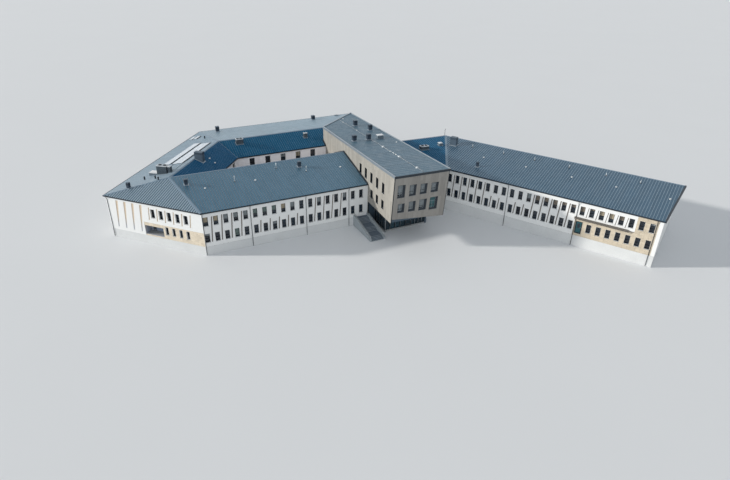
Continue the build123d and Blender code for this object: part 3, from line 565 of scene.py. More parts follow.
# Dark blue-grey treads: partly their own grey, partly painted shade from the side wall
stair_painted_shade_concrete = concrete("stair_painted_shade_concrete", rgb(92, 104, 116))
parapet_concrete = concrete("parapet_concrete", rgb(158, 166, 170))
navy_glass = dark_glass("navy_glass", rgb(14, 22, 34), rgb(30, 46, 60))
teal_glass = dark_glass("teal_glass", rgb(16, 34, 46), rgb(38, 66, 78))
beam_metal = metal("beam_metal", rgb(74, 90, 104), 0.35, 0.4)
panel_painted_reflection = painted_sky_solar_glass("panel_glass", west_angle)
blinds = {name: blind("blind_" + name, rgb(*colour)) for name, colour in {
    "beige": (158, 148, 128), "grey": (126, 133, 136), "green": (100, 116, 112),
    "white": (190, 194, 196), "brown": (112, 104, 94), "teal": (56, 96, 100),
}.items()}
chimney_grey = metal("chimney_grey", rgb(38, 54, 70), 0.5, 0.0)
cap_metal = metal("chimney_cap_sheet", rgb(78, 94, 108), 0.45, 0.1)
box_metal = metal("box_sheet", rgb(100, 114, 124), 0.45, 0.1)
canopy_brown = metal("canopy_strips", rgb(132, 124, 114), 0.5, 0.2)
# Rib copies by slope: the bright ribs are painted highlight, the court ribs painted shade
rib_metal = metal("seam_ribs", rgb(132, 152, 167), 0.38, 0.3)
rib_painted_highlight_metal = metal("seam_ribs_painted_highlight", rgb(150, 170, 184), 0.38, 0.3)
rib_painted_shade_metal = metal("seam_ribs_painted_shade", rgb(78, 128, 160), 0.5, 0.0)
# Seam line colours: the dark one is painted shadow beside the ribs, the light one painted highlight on them
painted_seam_shadow, painted_seam_highlight = rgb(16, 30, 44), rgb(215, 228, 236)

# Each roof slope: its colour, the share and colour of its seam lines, and its ribs; the colours carry painted
# light
# West and back are lighter, painted sheen; west_court, back_court and link are dark blue, painted shade, on
# the link also the bar's painted shadow
slope_looks = {
    "front": ((76, 115, 137), 0.6, painted_seam_shadow, rib_metal),
    "hip": ((76, 100, 116), 0.65, painted_seam_highlight, rib_painted_highlight_metal),
    "west": ((166, 183, 194), 0.45, painted_seam_shadow, rib_metal),
    "back": ((140, 162, 175), 0.45, painted_seam_shadow, rib_metal),
    "front_court": ((72, 104, 128), 0.45, painted_seam_shadow, rib_painted_shade_metal),
    "west_court": ((6, 80, 120), 0.45, painted_seam_shadow, rib_painted_shade_metal),
    "back_court": ((22, 88, 122), 0.45, painted_seam_shadow, rib_painted_shade_metal),
    "right": ((62, 92, 113), 0.02, painted_seam_highlight, rib_painted_highlight_metal),
    "right_rear": ((66, 94, 115), 0.02, painted_seam_highlight, rib_painted_highlight_metal),
    "link": ((24, 88, 124), 0.45, painted_seam_shadow, rib_painted_shade_metal),
    "link_rear": ((76, 104, 128), 0.45, painted_seam_shadow, rib_metal),
}
# These slopes carry painted shade and are made duller, with less shine
dull_painted_shade_slopes = ("west_court", "back_court", "link")


def give(names, material):
    """A material for the CAD pieces that the text names."""
    for name in names.split():
        node = nodes[name]
        if node.material_slots:
            for slot in node.material_slots:
                slot.material = material
        else:
            node.data.materials.append(material)


for key, (colour, painted_seam_share, painted_seam_colour, ribs) in slope_looks.items():
    sheet = roof_sheet("sheet_" + key, key, rgb(*colour), painted_seam_share, painted_seam_colour, key in dull_painted_shade_slopes)
    give("west_hip_roof" if key == "hip" else key + "_roof", sheet)
give("bar_roof", membrane("bar_membrane", rgb(74, 102, 119)))
for names, material in {
    "front_wall west_wall back_wall back_end_wall court_front_wall court_west_wall court_back_wall "
    "link_wall link_rear_wall right_wall right_wall_at_door right_gable_wall right_rear_wall": groove_painted_shade_grey,
    "west_end_wall": groove_painted_light_and_shade,
    "bar_front_wall bar_side_walls_front bar_side_walls_back bar_back_wall right_canopy": dark_metal,
    "front_floors west_floors back_floors right_floors link_floors bar_floors": grey_concrete,
    "bar_front_beam bar_lower_walls": beam_metal,
    "storefront_frames entrance_door_frame side_door_frame": frame_metal,
    "entrance_door entrance_glass": teal_glass,
    "window_glass bar_glass": navy_glass,
    "entrance_post": steel, "porch": porch_painted_shade_grey, "side_door": door_teal, "stair": stair_painted_shade_concrete,
    "stair_walls": parapet_concrete, "chimneys": chimney_grey, "roof_boxes": box_metal,
    "solar_panels": trim_metal,
}.items():
    give(names, material)

# Walls: how far skins and blocks reach into and out of them, then levels and window pitches
SUNK, SKIN = 1, 4
Levels = namedtuple("Levels", "plinth lower upper top")
MAIN = Levels(196, 382, 742, eave - plate - 1)
COURT = Levels(120, 402, 762, MAIN.top)
RIGHT = Levels(247, 460, 820, right_eave - plate - 1)
MAIN_PITCH, COURT_PITCH, RIGHT_PITCH, END_PITCH, BAR_SIDE_PITCH = 198, 400, 188, 197, 300
window_width, window_height, court_window = 98, 195, (130, 235)
no_blind = (None, 0.0)


def row(first, pitch, count):
    return [first + index * pitch for index in range(count)]


def centred(low, high, pitch):
    """As many places at a pitch as fit between two ends, well clear of both."""
    clear = 220
    count = int((high - low - 2 * clear) / pitch) + 1
    return row((low + high - (count - 1) * pitch) / 2, pitch, count)


def inside(point, loop):
    """Whether a point lies in a closed loop."""
    found = False
    for (ax, ay), (bx, by) in zip(loop, loop[1:] + loop[:1]):
        if (ay > point[1]) != (by > point[1]) and point[0] < (bx - ax) * (point[1] - ay) / (by - ay) + ax:
            found = not found
    return found


def skin(shape, place, outline, holes, thickness=SKIN):
    """A thin sheet over a wall, with openings cut through."""
    points = []
    edges = []
    for loop in [outline] + holes:
        start = len(points)
        points.extend(Vector(point) for point in loop)
        edges.extend((start + index, start + (index + 1) % len(loop)) for index in range(len(loop)))
    flat_points, _, faces, _, _, _ = delaunay_2d_cdt(points, edges, [], 0, 0.01)
    kept = []
    for face in faces:
        middle = [sum(flat_points[index][axis] for index in face) / len(face) for axis in (0, 1)]
        if inside(middle, outline) and not any(inside(middle, hole) for hole in holes):
            kept.append(list(face))
    count = len(flat_points)
    seen = {(a, b): True for face in kept for a, b in zip(face, face[1:] + face[:1])}
    rim = [(a, b, b + count, a + count) for a, b in seen if (b, a) not in seen]
    both = [place(s, out, z) for out in (thickness, -SUNK) for s, z in flat_points]
    shape.add(both, kept + [[i + count for i in face[::-1]] for face in kept] + rim)


def opening(centre, middle, width=window_width, height=window_height, room=1):
    """The limits of a window's opening: along its wall, then in height."""
    half_width, half_height = width / 2 + room, height / 2 + room
    return (centre - half_width, centre + half_width, middle - half_height, middle + half_height)


def slit(top_s, top_z, low_s, low_z, width=24, low_width=None):
    high, low = width / 2, (low_width or width) / 2
    return [(low_s - low, low_z), (low_s + low, low_z), (top_s + high, top_z), (top_s - high, top_z)]


def slit_foot(left_centre, levels):
    return left_centre + 83, levels.lower - 97


def full_slit(left_centre, pitch, levels):
    """A slanted groove between two columns of windows, over both storeys."""
    return slit(left_centre + pitch - 73, levels.upper + 100, *slit_foot(left_centre, levels))


def short_slit(left_centre, levels):
    return slit(left_centre + 104, levels.lower + 178, *slit_foot(left_centre, levels))


def patterned(centres, pitch, levels):
    """The photo's rhythm of grooves: in each eleven columns four full ones, then five short ones."""
    made = []
    for index, centre in enumerate(centres[:-1]):
        if index % 11 < 4:
            made.append(full_slit(centre, pitch, levels))
        elif 4 < index % 11 < 10:
            made.append(short_slit(centre, levels))
    return made


frames_shape, sills_shape, light_bars, white_linings, dark_linings = [Shape() for _ in range(5)]
skins, court_skins, plinths = Shape(), Shape(), Shape()
blind_shapes = {name: Shape() for name in blinds}
frame_bar, sash_bar, sash_inset, split_share, slat, half_post = 5, 3, 6, 0.32, 8, 3
lining_edge, lining_bar, window_depth = 0.8, 1.8, 24


def window(place, centre, middle, shade_and_drop=no_blind, width=window_width, height=window_height,
           depth=window_depth, post=False, dark=False):
    """Frame, sash, lining, sill and blind of one window; the glass behind is the wall's own sheet."""
    s0, s1, z0, z1 = opening(centre, middle, width, height, room=0)
    left, right_side, foot, head = s0 + frame_bar, s1 - frame_bar, z0 + frame_bar, z1 - frame_bar
    frames_shape.window_bars(place, s0, s1, z0, z1, frame_bar, -depth - 9, -depth)
    split = z0 + height * split_share
    frames_shape.cell(place, left, right_side, -depth - 8, -depth - 1, split, split + frame_bar)
    frames_shape.window_bars(place, s0 + sash_inset, s1 - sash_inset, split + sash_inset, z1 - sash_inset,
                             sash_bar, -depth - 7, -depth + 1.5)
    lining = dark_linings if dark else white_linings
    outer = opening(centre, middle, width, height, room=lining_edge)
    lining.window_bars(place, *outer, lining_bar, -depth, 5)
    if post:
        frames_shape.cell(place, centre - half_post, centre + half_post, -depth - 8, -depth - 0.5, foot, head)
    sills_shape.bar(place, s0 - 3, s1 + 3, [
        (-depth, z0 + 2.4), (9, z0 - 1), (9, z0 - 4), (7.8, z0 - 4), (7.8, z0 - 2), (-depth, z0 + 1)])
    shade, drop = shade_and_drop
    if shade:
        bottom = z1 - sash_inset - (height - 2 * sash_inset) * drop
        levels = row(bottom, slat, max(int((z1 - sash_inset - bottom) / slat), 1))
        teeth = [point for z in levels for point in ((-depth - 10, z), (-depth - 13, z + 5))]
        rear = [(-depth - 14.5, levels[-1] + slat), (-depth - 14.5, bottom)]
        blind_shapes[shade].bar(place, s0 + sash_inset, s1 - sash_inset, teeth + rear)


def some_blind(kinds, share):
    if chance.random() < share:
        return chance.choice(kinds), chance.choice((0.25, 0.4, 0.55, 0.66, 0.66))
    return no_blind


def plinth(place, s0, s1, skin_foot):
    plinths.cell(place, s0, s1, -SUNK, 2.5, 0, skin_foot - 3)


def wing_wall(base, s0, s1, levels, centres, slits, known=None, size=None, sheet=skins):
    """White skin, windows and plinth of a wall with two rows of windows."""
    place = on_line(base)
    width, height = size or (window_width, window_height)
    holes = []
    for index, centre in enumerate(centres):
        for middle in (levels.lower, levels.upper):
            holes.append(rectangle(*opening(centre, middle, width, height)))
            drawn = some_blind(("beige", "grey", "white"), 0.4 if middle == levels.upper else 0.15)
            if known is not None:
                drawn = known.get((index, middle), no_blind)
            window(place, centre, middle, drawn, width, height, post=size is not None)
    skin(sheet, place, rectangle(s0, s1, levels.plinth, levels.top), holes + slits)
    plinth(place, s0, s1, levels.plinth)


def end_wall(base, before, after, foot, *planes):
    """Skin and plinth of an end wall whose top follows the roof."""
    place = on_line(base)
    s0, s1 = span(base, before, after)
    samples = [s0 + (s1 - s0) * step / 60 for step in range(61)]
    top = [(s, min(plane(along(base, s)) for plane in planes) - plate - 1) for s in samples]
    skin(skins, place, [(s0, foot), (s1, foot)] + top[::-1], [])
    plinth(place, s0, s1, foot)


front_windows, right_windows = row(63, MAIN_PITCH, 18), row(100, RIGHT_PITCH, 24)
west_windows = centred(*span(west, back, west_end), MAIN_PITCH)
back_windows = centred(*span(back, back_end, west), MAIN_PITCH)
front_blinds = {
    (0, MAIN.lower): ("grey", 0.3), (3, MAIN.lower): ("green", 0.9), (7, MAIN.lower): ("grey", 0.4)}
for shade, columns in {"grey": (2, 3, 4, 9, 12, 15), "beige": (0, 1, 8), "green": (5, 6, 7)}.items():
    front_blinds.update({(index, MAIN.upper): (shade, 0.66) for index in columns})
grooved_windows = front_windows[:16]
wing_wall(front, -4, front_length, MAIN, front_windows, patterned(grooved_windows, MAIN_PITCH, MAIN),
          front_blinds)
wing_wall(west, -4, west_length + 4, MAIN, west_windows, patterned(west_windows, MAIN_PITCH, MAIN))
wing_wall(back, -4, distance_along(back, meet(back, west)) + 4, MAIN, back_windows,
          patterned(back_windows, MAIN_PITCH, MAIN))
for base, before, after in (
    (front_court, bar_left, west_court), (west_court, front_court, back_court),
    (back_court, west_court, bar_left),
):
    s0, s1 = span(base, before, after)
    wing_wall(base, s0, s1, COURT, centred(s0, s1, COURT_PITCH), [], size=court_window, sheet=court_skins)

# Right wing: distances from its corner with the link
right_place = on_line(right)
door_centre, door_index = 3097, 16
stone_start, stone_full, corner_strip, stone_line, right_foot = 2998, 4140, 4524, 654, 250
for index, centre in enumerate(right_windows):
    window(right_place, centre, RIGHT.upper,
           some_blind(("brown", "grey", "brown", "beige"), 0.1 if index < 10 else 0.85))
    if index != door_index:
        window(right_place, centre, RIGHT.lower, some_blind(("grey", "brown"), 0.12))
lower_holes = [opening(c, RIGHT.lower) for index, c in enumerate(right_windows) if index != door_index]
upper_holes = [opening(c, RIGHT.upper) for c in right_windows]
plain_holes = [hole for hole in lower_holes if hole[1] < stone_start]
plain_holes += [hole for hole in upper_holes if hole[1] < stone_full]
right_slits = [full_slit(right_windows[i], RIGHT_PITCH, RIGHT) for i in (0, 1, 2, 3, 4, 10, 11, 12, 13, 14)]
right_slits += [short_slit(right_windows[i], RIGHT) for i in (5, 6, 8, 9)]
right_slits += [slit(right_windows[i] - 72, 918, right_windows[i] - 92, 690, 14) for i in range(17, 22)]
skin(skins, right_place, [
    (4, right_foot), (stone_start, right_foot), (stone_start, stone_line), (stone_full, stone_line),
    (stone_full, RIGHT.top), (4, RIGHT.top),
], [rectangle(*hole) for hole in plain_holes] + right_slits)
skin(skins, right_place, rectangle(corner_strip, right_length + 4, right_foot, RIGHT.top), [])
plinth(right_place, 4, right_length + 2, right_foot)
for base, before, after, grooved in (
    (link, bar_right, right, False), (right_rear, gable, link_rear, True),
    (link_rear, right_rear, bar_right, True),
):
    s0, s1 = span(base, before, after)
    centres = centred(s0, s1, RIGHT_PITCH)
    wing_wall(base, s0, s1, RIGHT, centres, patterned(centres, RIGHT_PITCH, RIGHT) if grooved else [])
end_wall(gable, right, right_rear, right_foot, slopes["right"], slopes["right_rear"])
end_wall(back_end, bar_back, back, MAIN.plinth, slopes["back"])

# West end wall: distances from the front corner
end_place = on_line(west_end)
end_upper_level, end_lower_level, end_lower_size = 720, 380, (80, 180)
porch_foot, porch_head, end_skin_foot, end_skin = 222, 428, 500, 7


def from_corner(distance):
    return west_end_length - distance


end_upper = [from_corner(centre) for centre in row(381, END_PITCH, 5)]
end_lower = [from_corner(centre) for centre in (377, 546, 719, 884)]
porch_low, porch_high = from_corner(1429), from_corner(970)
end_slits = [slit(from_corner(s), 850, from_corner(s + 34), 566, 26) for s in row(258, END_PITCH, 6)]
end_slits += [slit(from_corner(s), 872, from_corner(s + 78), 262, 60, 26) for s in row(1440, END_PITCH, 4)]
skin(skins, end_place, [
    (-4, MAIN.plinth), (porch_low, MAIN.plinth), (porch_low, end_skin_foot),
    (west_end_length + 4, end_skin_foot), (west_end_length + 4, MAIN.top), (-4, MAIN.top),
], [rectangle(*opening(c, end_upper_level)) for c in end_upper] + end_slits, end_skin)
plinth(end_place, -4, west_end_length + 4, MAIN.plinth)
for centre in end_upper:
    window(end_place, centre, end_upper_level, some_blind(("beige", "grey"), 0.3))
for centre in end_lower:
    window(end_place, centre, end_lower_level, no_blind, *end_lower_size)
frames_shape.cell(end_place, end_lower[2] - 3, end_lower[2] + 3, -33, -23, 292, 468)

skins.make("white_skin", white, "render")
court_skins.make("court_skin", court_white_painted_light, "render")
plinths.make("plinth_band", plinth_grey, "render")


def cut_spans(spans, low, high):
    """The open stretches of a column after an opening is taken out."""
    left = []
    for z0, z1, open_low, open_high in spans:
        if high <= z0 or low >= z1:
            left.append((z0, z1, open_low, open_high))
            continue
        if low > z0 + 1:
            left.append((z0, low, open_low, False))
        if high < z1 - 1:
            left.append((high, z1, False, open_high))
    return left


def blocks(shape, place, left, right_side, bottom, top, holes, bond):
    """Boards or stones with joints, cut round openings."""
    shortest = 4
    starts = row(left, bond.pitch, math.ceil((right_side - left) / bond.pitch))
    sides = [s for hole in holes for s in hole[:2] if left < s < right_side]
    cuts = sorted(set(starts + [right_side] + sides))
    for a, b in zip(cuts, cuts[1:]):
        if b - a < 1:
            continue
        middle = (a + b) / 2
        spans = [(bottom(middle), top(middle), True, True)]
        for h0, h1, low, high in holes:
            if h0 < middle < h1:
                spans = cut_spans(spans, low, high)
        shift = bond.joint * (0.5 * (int((middle - left) / bond.pitch) % 2) if bond.upright else 0)
        s0 = a + (bond.gap / 2 if a in starts else 0)
        s1 = b - (bond.gap / 2 if b in starts else 0)
        for z0, z1, open_low, open_high in spans:
            foot = max(bottom(s0), bottom(s1)) if open_low else z0
            first = math.ceil((foot - shift) / bond.joint + 0.02)
            levels = [z0]
            while first * bond.joint + shift < z1 - shortest:
                levels.append(first * bond.joint + shift)
                first += 1
            levels.append(z1)
            for order, (low, high) in enumerate(zip(levels, levels[1:])):
                at_bottom = order == 0
                at_top = order == len(levels) - 2
                rings = []
                for s in (s0, s1):
                    za = bottom(s) if at_bottom and open_low else low + (0 if at_bottom else bond.gap / 2)
                    zb = top(s) if at_top and open_high else high - (0 if at_top else bond.gap / 2)
                    rings.append([place(s, out, z) for out, z in rectangle(-SUNK, SKIN, za, zb)])
                shape.loft(rings)


def flat(value):
    return lambda s: value


def stonework(name, material, place, *areas):
    """Stone over areas, each given by its limits and the openings in it."""
    stones = Shape()
    for s0, s1, low, high, holes in areas:
        blocks(stones, place, s0, s1, flat(low), flat(high), holes, STONE)
    stones.make(name, material, "render")


# Stone at the west end's ground floor and at the end of the right wing
stone_top, right_stone_top, half_door = 494, 638, 71
low_holes = [(c - 41, c + 41, 290, 470) for c in end_lower]
stonework(
    "end_stone_blocks", end_stone, end_place,
    (porch_high, west_end_length + 3, MAIN.plinth, stone_top, low_holes),
    (porch_low - 24, porch_high, MAIN.plinth, porch_foot, []),
    (porch_low, porch_high, porch_head, stone_top, []))
stonework(
    "right_stone_blocks", right_stone, right_place,
    (stone_start, stone_full, right_foot, right_stone_top,
     lower_holes + [(door_centre - half_door, door_centre + half_door, 299, 579)]),
    (stone_full, corner_strip, right_foot, RIGHT.top, lower_holes + upper_holes))

# Boards of the raised bar: windows of its front by start, width, foot and head
face_windows = [
    (87, 161, 1107, 1387), (349, 150, 1115, 1361), (593, 153, 1120, 1349), (843, 163, 1124, 1340),
    (122, 149, 761, 963), (370, 150, 754, 980), (608, 168, 739, 990), (853, 183, 714, 1000),
]
face_margin, wedge_width, rear_foot = 14, 120, 900
planks = Shape()
blocks(planks, on_face, face_margin, bar_width - face_margin,
       lambda s: skirt_left + (skirt_right - skirt_left) * s / bar_width, flat(bar_top - plate - 1),
       [(s, s + w, low, high) for s, w, low, high in face_windows], BOARD)
planks.make("front_boards", bar_boards, "cladding")

# Each side of the bar: its line and direction, its length, and the stretch that stands free of the wings
bar_sides = (
    (bar_left, -1, bar_left_back, [distance_along(bar_side, meet(other, bar_left))
                                   for other in (front_court, back_court)]),
    (bar_right, 1, bar_right_back, [distance_along(bar_right, meet(link_rear, bar_right)), bar_right_back]),
)


def side_windows(direction, free):
    """Centre, middle height, width and height of the windows in one side."""
    found = [(reach, 1152, 110, 225) for reach in row(-790, 300, 5)]
    found += [(reach, 785, 110, 190) for reach in row(-780, 280, 3)]
    found += [(reach, middle, window_width, window_height)
              for reach in centred(*free, BAR_SIDE_PITCH) for middle in (MAIN.lower, MAIN.upper)]
    return [(direction * reach, *sizes) for reach, *sizes in found]


def side_edges(direction, free):
    """The foot of the boards behind the face and further back, and their top, over distance along."""
    def behind_face(s):
        return max(bar_under, bar_top - (s * direction + bar_reach) / bar_lean + 60)

    def further_back(s):
        if s * direction < 0:
            return bar_under
        return 0 if free[0] <= s * direction <= free[1] else rear_foot

    def under_roof(s):
        return bar_slope(bar_point(0 if direction < 0 else bar_width, s * direction)) - plate - 1
    return behind_face, further_back, under_roof


planks = Shape()
for base, direction, length, free in bar_sides:
    behind_face, further_back, under_roof = side_edges(direction, free)
    holes = [opening(*sizes, room=0) for sizes in side_windows(direction, free)]
    wedge = sorted(direction * (out - bar_reach) for out in (face_margin, wedge_width))
    rest = sorted([direction * (wedge_width - bar_reach), direction * (length - 2)])
    blocks(planks, on_line(base), *wedge, behind_face, under_roof, [], NARROW_BOARD)
    blocks(planks, on_line(base), *rest, further_back, under_roof, holes, BOARD)
planks.make("side_boards", bar_side_boards, "cladding")

face_depth, splay_width, splay_height = 26, 42, 32


def splayed(s0, s1, z0, z1):
    """Dark slanted lining at the right and foot of a window in the bar's face, with light glazing bars."""
    inner, foot, deep = s1 - splay_width, z0 + splay_height, 1 - face_depth
    dark_linings.loft([[on_face(s1 + 1, 6, z), on_face(inner, deep, z), on_face(s1 + 1, deep, z)]
                       for z in (z0 - 1, z1)])
    dark_linings.loft([[on_face(s, 6, z0 - 1), on_face(s, deep, foot), on_face(s, deep, z0 - 1)]
                       for s in (s0, s1)])
    light_bars.window_bars(on_face, s0 + 2, inner, foot, z1 - 2, 3.5, -face_depth, 2 - face_depth)
    rail, post = foot + (z1 - foot) * 0.62, (s0 + inner) / 2
    light_bars.cell(on_face, s0 + 7, inner - 5, -face_depth, 2 - face_depth, rail, rail + 5)
    light_bars.cell(on_face, post - 2.5, post + 2.5, -face_depth, 1.8 - face_depth, foot + 5, rail)


for s, w, low, high in face_windows:
    is_last = (s, w, low, high) == face_windows[-1]
    drawn = ("teal", 0.9) if is_last else ("grey", chance.choice((0.8, 0.9, 0.95)))
    window(on_face, s + w / 2, (low + high) / 2, drawn, w, high - low, face_depth, dark=True)
    splayed(s, s + w, low, high)
for base, direction, _, free in bar_sides:
    for centre, middle, width, height in side_windows(direction, free):
        window(on_line(base), centre, middle, no_blind, width, height, dark=True)

frames_shape.make("window_frames", frame_metal, "frame_metal")
sills_shape.make("window_sills", sill_metal, "frame_metal")
light_bars.make("light_glazing_bars", trim_metal, "frame_metal")
white_linings.make("white_linings", white, "render")
dark_linings.make("dark_linings", dark_metal, "cladding")
for name, shape in blind_shapes.items():
    if shape.points:
        shape.make("blinds_" + name, blinds[name], "window_glass")

# Roof seams
rib_section = [(-2.2, -1), (-2.2, 2.8), (-3.2, 3.0), (-3.2, 4.8), (2.2, 4.8), (2.2, -1)]


def seams(shape, key):
    """A rib along each seam of a slope, clear of its eave and its ridge."""
    start, angle = eaves[key]
    run, rise = unit(angle), left_of(angle)
    flat_points = [((p - start).dot(run), (p - start).dot(rise)) for p in roofs[key]]
    x = min(p[0] for p in flat_points) + SEAM_PITCH / 2
    last = max(p[0] for p in flat_points)
    while x < last:
        crossings = sorted(
            y0 + (y1 - y0) * (x - x0) / (x1 - x0)
            for (x0, y0), (x1, y1) in zip(flat_points, flat_points[1:] + flat_points[:1])
            if (x0 - x) * (x1 - x) < 0)
        for y0, y1 in zip(crossings[::2], crossings[1::2]):
            if y1 - y0 > 30:
                ends = [start + run * x + rise * y for y in (y0 + 3, y1 - 12)]
                shape.loft([[to_frame(point + run * dx, slopes[key](point) + dz) for dx, dz in rib_section]
                            for point in ends])
        x += SEAM_PITCH


for key, (_, _, _, ribs) in slope_looks.items():
    shape = Shape()
    seams(shape, key)
    shape.make("seams_" + key, ribs, "roof_sheet")

# Laps over the roof of the raised bar
lap_inset, lap_section = 26, [(-4, -0.5), (-4, 1.4), (4, 0.4), (4, -0.5)]
laps = Shape()
reach = LAP_PITCH - bar_reach
while reach < bar_right_back - 20:
    oblique = (reach - bar_left_back) / (bar_right_back - bar_left_back) * bar_width
    laps.loft([[on_bar(s, reach + shift, lift) for shift, lift in lap_section]
               for s in (max(lap_inset, oblique + lap_inset), bar_width - lap_inset)])
    reach += LAP_PITCH
laps.make("roof_laps", trim_metal, "bar_sheet")

# Caps over ridges and hips, and valley sheets
fold_width, cap_lift, valley_lift = 26, 4.6, 1.2
caps = Shape()
crests = (
    (west_peak, front_peak, "front_court", "front"), (north_peak, west_peak, "west_court", "west"),
    (back_peak, north_peak, "back_court", "back"), (front_corner, west_peak, "hip", "front"),
    (west_corner, west_peak, "west", "hip"), (north_corner, north_peak, "back", "west"),
    (right_peak, verge_peak, "right_rear", "right"), (link_peak, right_peak, "link_rear", "link"),
    (right_peak, rear_corner, "right_rear", "link_rear"),
)
valleys = (
    (west_peak, court_corner, "front_court", "west_court"),
    (north_peak, court_back_corner, "west_court", "back_court"), (right_corner, right_peak, "link", "right"),
)


def fold(start, end, first, second, lift):
    """A sheet over the line where two slopes meet."""
    way = (end - start).normalized()
    side = Vector((-way.y, way.x)) * fold_width
    rings = []
    for point in (start, end):
        left_point, right_point, middle = point + side, point - side, slopes[first](point)
        za, zb = slopes[first](left_point), slopes[second](right_point)
        rings.append([to_frame(spot, z) for spot, z in (
            (left_point, za - 1), (left_point, za + lift - 0.6), (point, middle + lift + 1),
            (right_point, zb + lift - 0.6), (right_point, zb - 1), (point, middle - 2))])
    caps.loft(rings)


for places in crests:
    fold(*places, cap_lift)
for places in valleys:
    fold(*places, valley_lift)
caps.make("ridge_caps", metal("cap_sheet", rgb(114, 134, 150), 0.4, 0.3), "roof_sheet")

# Gutters: cut at walls and verges, mitred at the other corners
gutter_section = [
    (25.3, -1), (25.3, -16), (28, -20), (33, -22), (38, -20), (40.5, -16), (40.5, 1), (42, 1.4), (42, 0.2),
    (41.6, 0), (41.6, -16), (38.6, -21.2), (33, -23.4), (27.3, -21.2), (24.2, -16), (24.2, -1),
]
cut_lines = (bar_left, bar_side, bar_right, back_end_edge, gable_edge)


def gutter_end(base, other, out):
    cut = any(other is line for line in cut_lines)
    return meet(moved(base, -out), other if cut else moved(other, -out))


gutters = Shape()
for base, before, after, height in (
    (front, west_end, bar_side, eave), (west_end, west, front, eave), (west, back, west_end, eave),
    (back, back_end_edge, west, eave), (front_court, bar_left, west_court, eave),
    (west_court, front_court, back_court, eave), (back_court, west_court, bar_left, eave),
    (right, link, gable_edge, right_eave), (link, bar_right, right, right_eave),
    (right_rear, gable_edge, link_rear, right_eave), (link_rear, right_rear, bar_right, right_eave),
):
    gutters.loft([[to_frame(gutter_end(base, other, out), height - 2 + z) for out, z in gutter_section]
                  for other in (before, after)])
gutters.make("gutters", gutter_metal, "frame_metal")

# Downpipes
pipe_foot, pipe_radius, clip_radius, clip_pitch, first_clip, clear_top = 6, 5, 6.4, 170, 80, 100
pipes = Shape()


def downpipe(base, s, height):
    place = on_line(base)
    path = [(33, height - 22), (33, height - 34), (28, height - 46), (17, height - 66), (12, height - 78),
            (12, height - 90), (12, pipe_foot + 26), (14, pipe_foot + 14), (20, pipe_foot + 4)]
    pipes.tube([place(s, out, z) for out, z in path], pipe_radius, 10)
    z = pipe_foot + first_clip
    while z < height - clear_top:
        pipes.tube([place(s, 12, z), place(s, 12, z + 5)], clip_radius, 10)
        pipes.cell(place, s - 2, s + 2, 3, 8, z, z + 5)
        z += clip_pitch


rear_windows = centred(*span(right_rear, gable, link_rear), RIGHT_PITCH)
half_main, half_right = MAIN_PITCH / 2, RIGHT_PITCH / 2
for base, height, places in (
    (front, eave, [front_windows[0] - 56] + [front_windows[i] + half_main for i in (4, 10, 15)]),
    (right, right_eave, [right_windows[7] + half_right, right_windows[15] + half_right, 4490]),
    (west_end, eave, [30]),
    (west, eave, [west_windows[i] + half_main for i in range(4, len(west_windows) - 1, 6)]),
    (back, eave, [back_windows[i] + half_main for i in range(4, len(back_windows) - 1, 6)]),
    (front_court, eave, [1300]), (west_court, eave, [900]), (back_court, eave, [1900]),
    (right_rear, right_eave, [rear_windows[i] + half_right for i in range(7, len(rear_windows) - 1, 8)]),
):
    for s in places:
        downpipe(base, s, height)
pipes.make("downpipes", gutter_metal, "frame_metal")

# Strips along roof edges and up the walls of the raised bar


def strip(shape, start, end, plane, section, grow=0.0):
    """A folded strip; the section gives distances to the left of the way and heights above the slope."""
    way = (end - start).normalized()
    side = Vector((-way.y, way.x))
    rings = []
    for point in (start - way * grow, end + way * grow):
        places = [(point + side * offset, lift) for offset, lift in section]
        rings.append([to_frame(spot, plane(spot) + lift) for spot, lift in places])
    shape.loft(rings)


def folded(out, low, high, inward, metal_thickness=1.5):
    inner = out + metal_thickness
    return [(out, low), (out, high), (inward, high), (inward, 0.5), (inward - metal_thickness, 0.5),
            (inward - metal_thickness, high - metal_thickness), (inner, high - metal_thickness), (inner, low)]


dark_edges, light_edges, aprons = Shape(), Shape(), Shape()
coping, fascia_with_painted_shadow, verge = folded(-2, -34, 16, 24), folded(-3, -37, 11, 9), folded(-2, -34, 7, 30)
apron = [(3, 2), (3, 26), (5.6, 26), (5.6, 6.6), (32, 6.6), (32, 2)]
for index in (0, 2, 3):
    strip(light_edges, bar_corners[index], bar_corners[(index + 1) % 4], bar_slope, coping)
# The bar's front fascia is deep and dark: a real fascia, with painted shadow under the roof edge
strip(dark_edges, bar_corners[1], bar_corners[2], bar_slope, fascia_with_painted_shadow, 2)
for start, end, key in ((right_verge[0], verge_peak, "right"), (verge_peak, rear_verge, "right_rear"),
                        (back_end_high, back_end_low, "back")):
    strip(dark_edges, start, end, slopes[key], verge)
for start, end, key in (
    (front_at_bar, front_peak, "front"), (front_peak, court_at_bar, "front_court"),
    (back_court_at_bar, bar_back_left, "back_court"), (bar_back_left, back_peak, "back_court"),
    (back_peak, bar_back_right, "back"), (link_rear_at_bar, link_peak, "link_rear"),
    (link_peak, link_at_bar, "link"),
):
    strip(aprons, start, end, slopes[key], apron)
dark_edges.make("dark_edges", gutter_metal, "roof_sheet")
light_edges.make("light_edges", trim_metal, "bar_sheet")
aprons.make("aprons", gutter_metal, "roof_sheet")

# Chimneys and plant boxes, taken from the corners of the CAD boxes
same_level = 0.0005


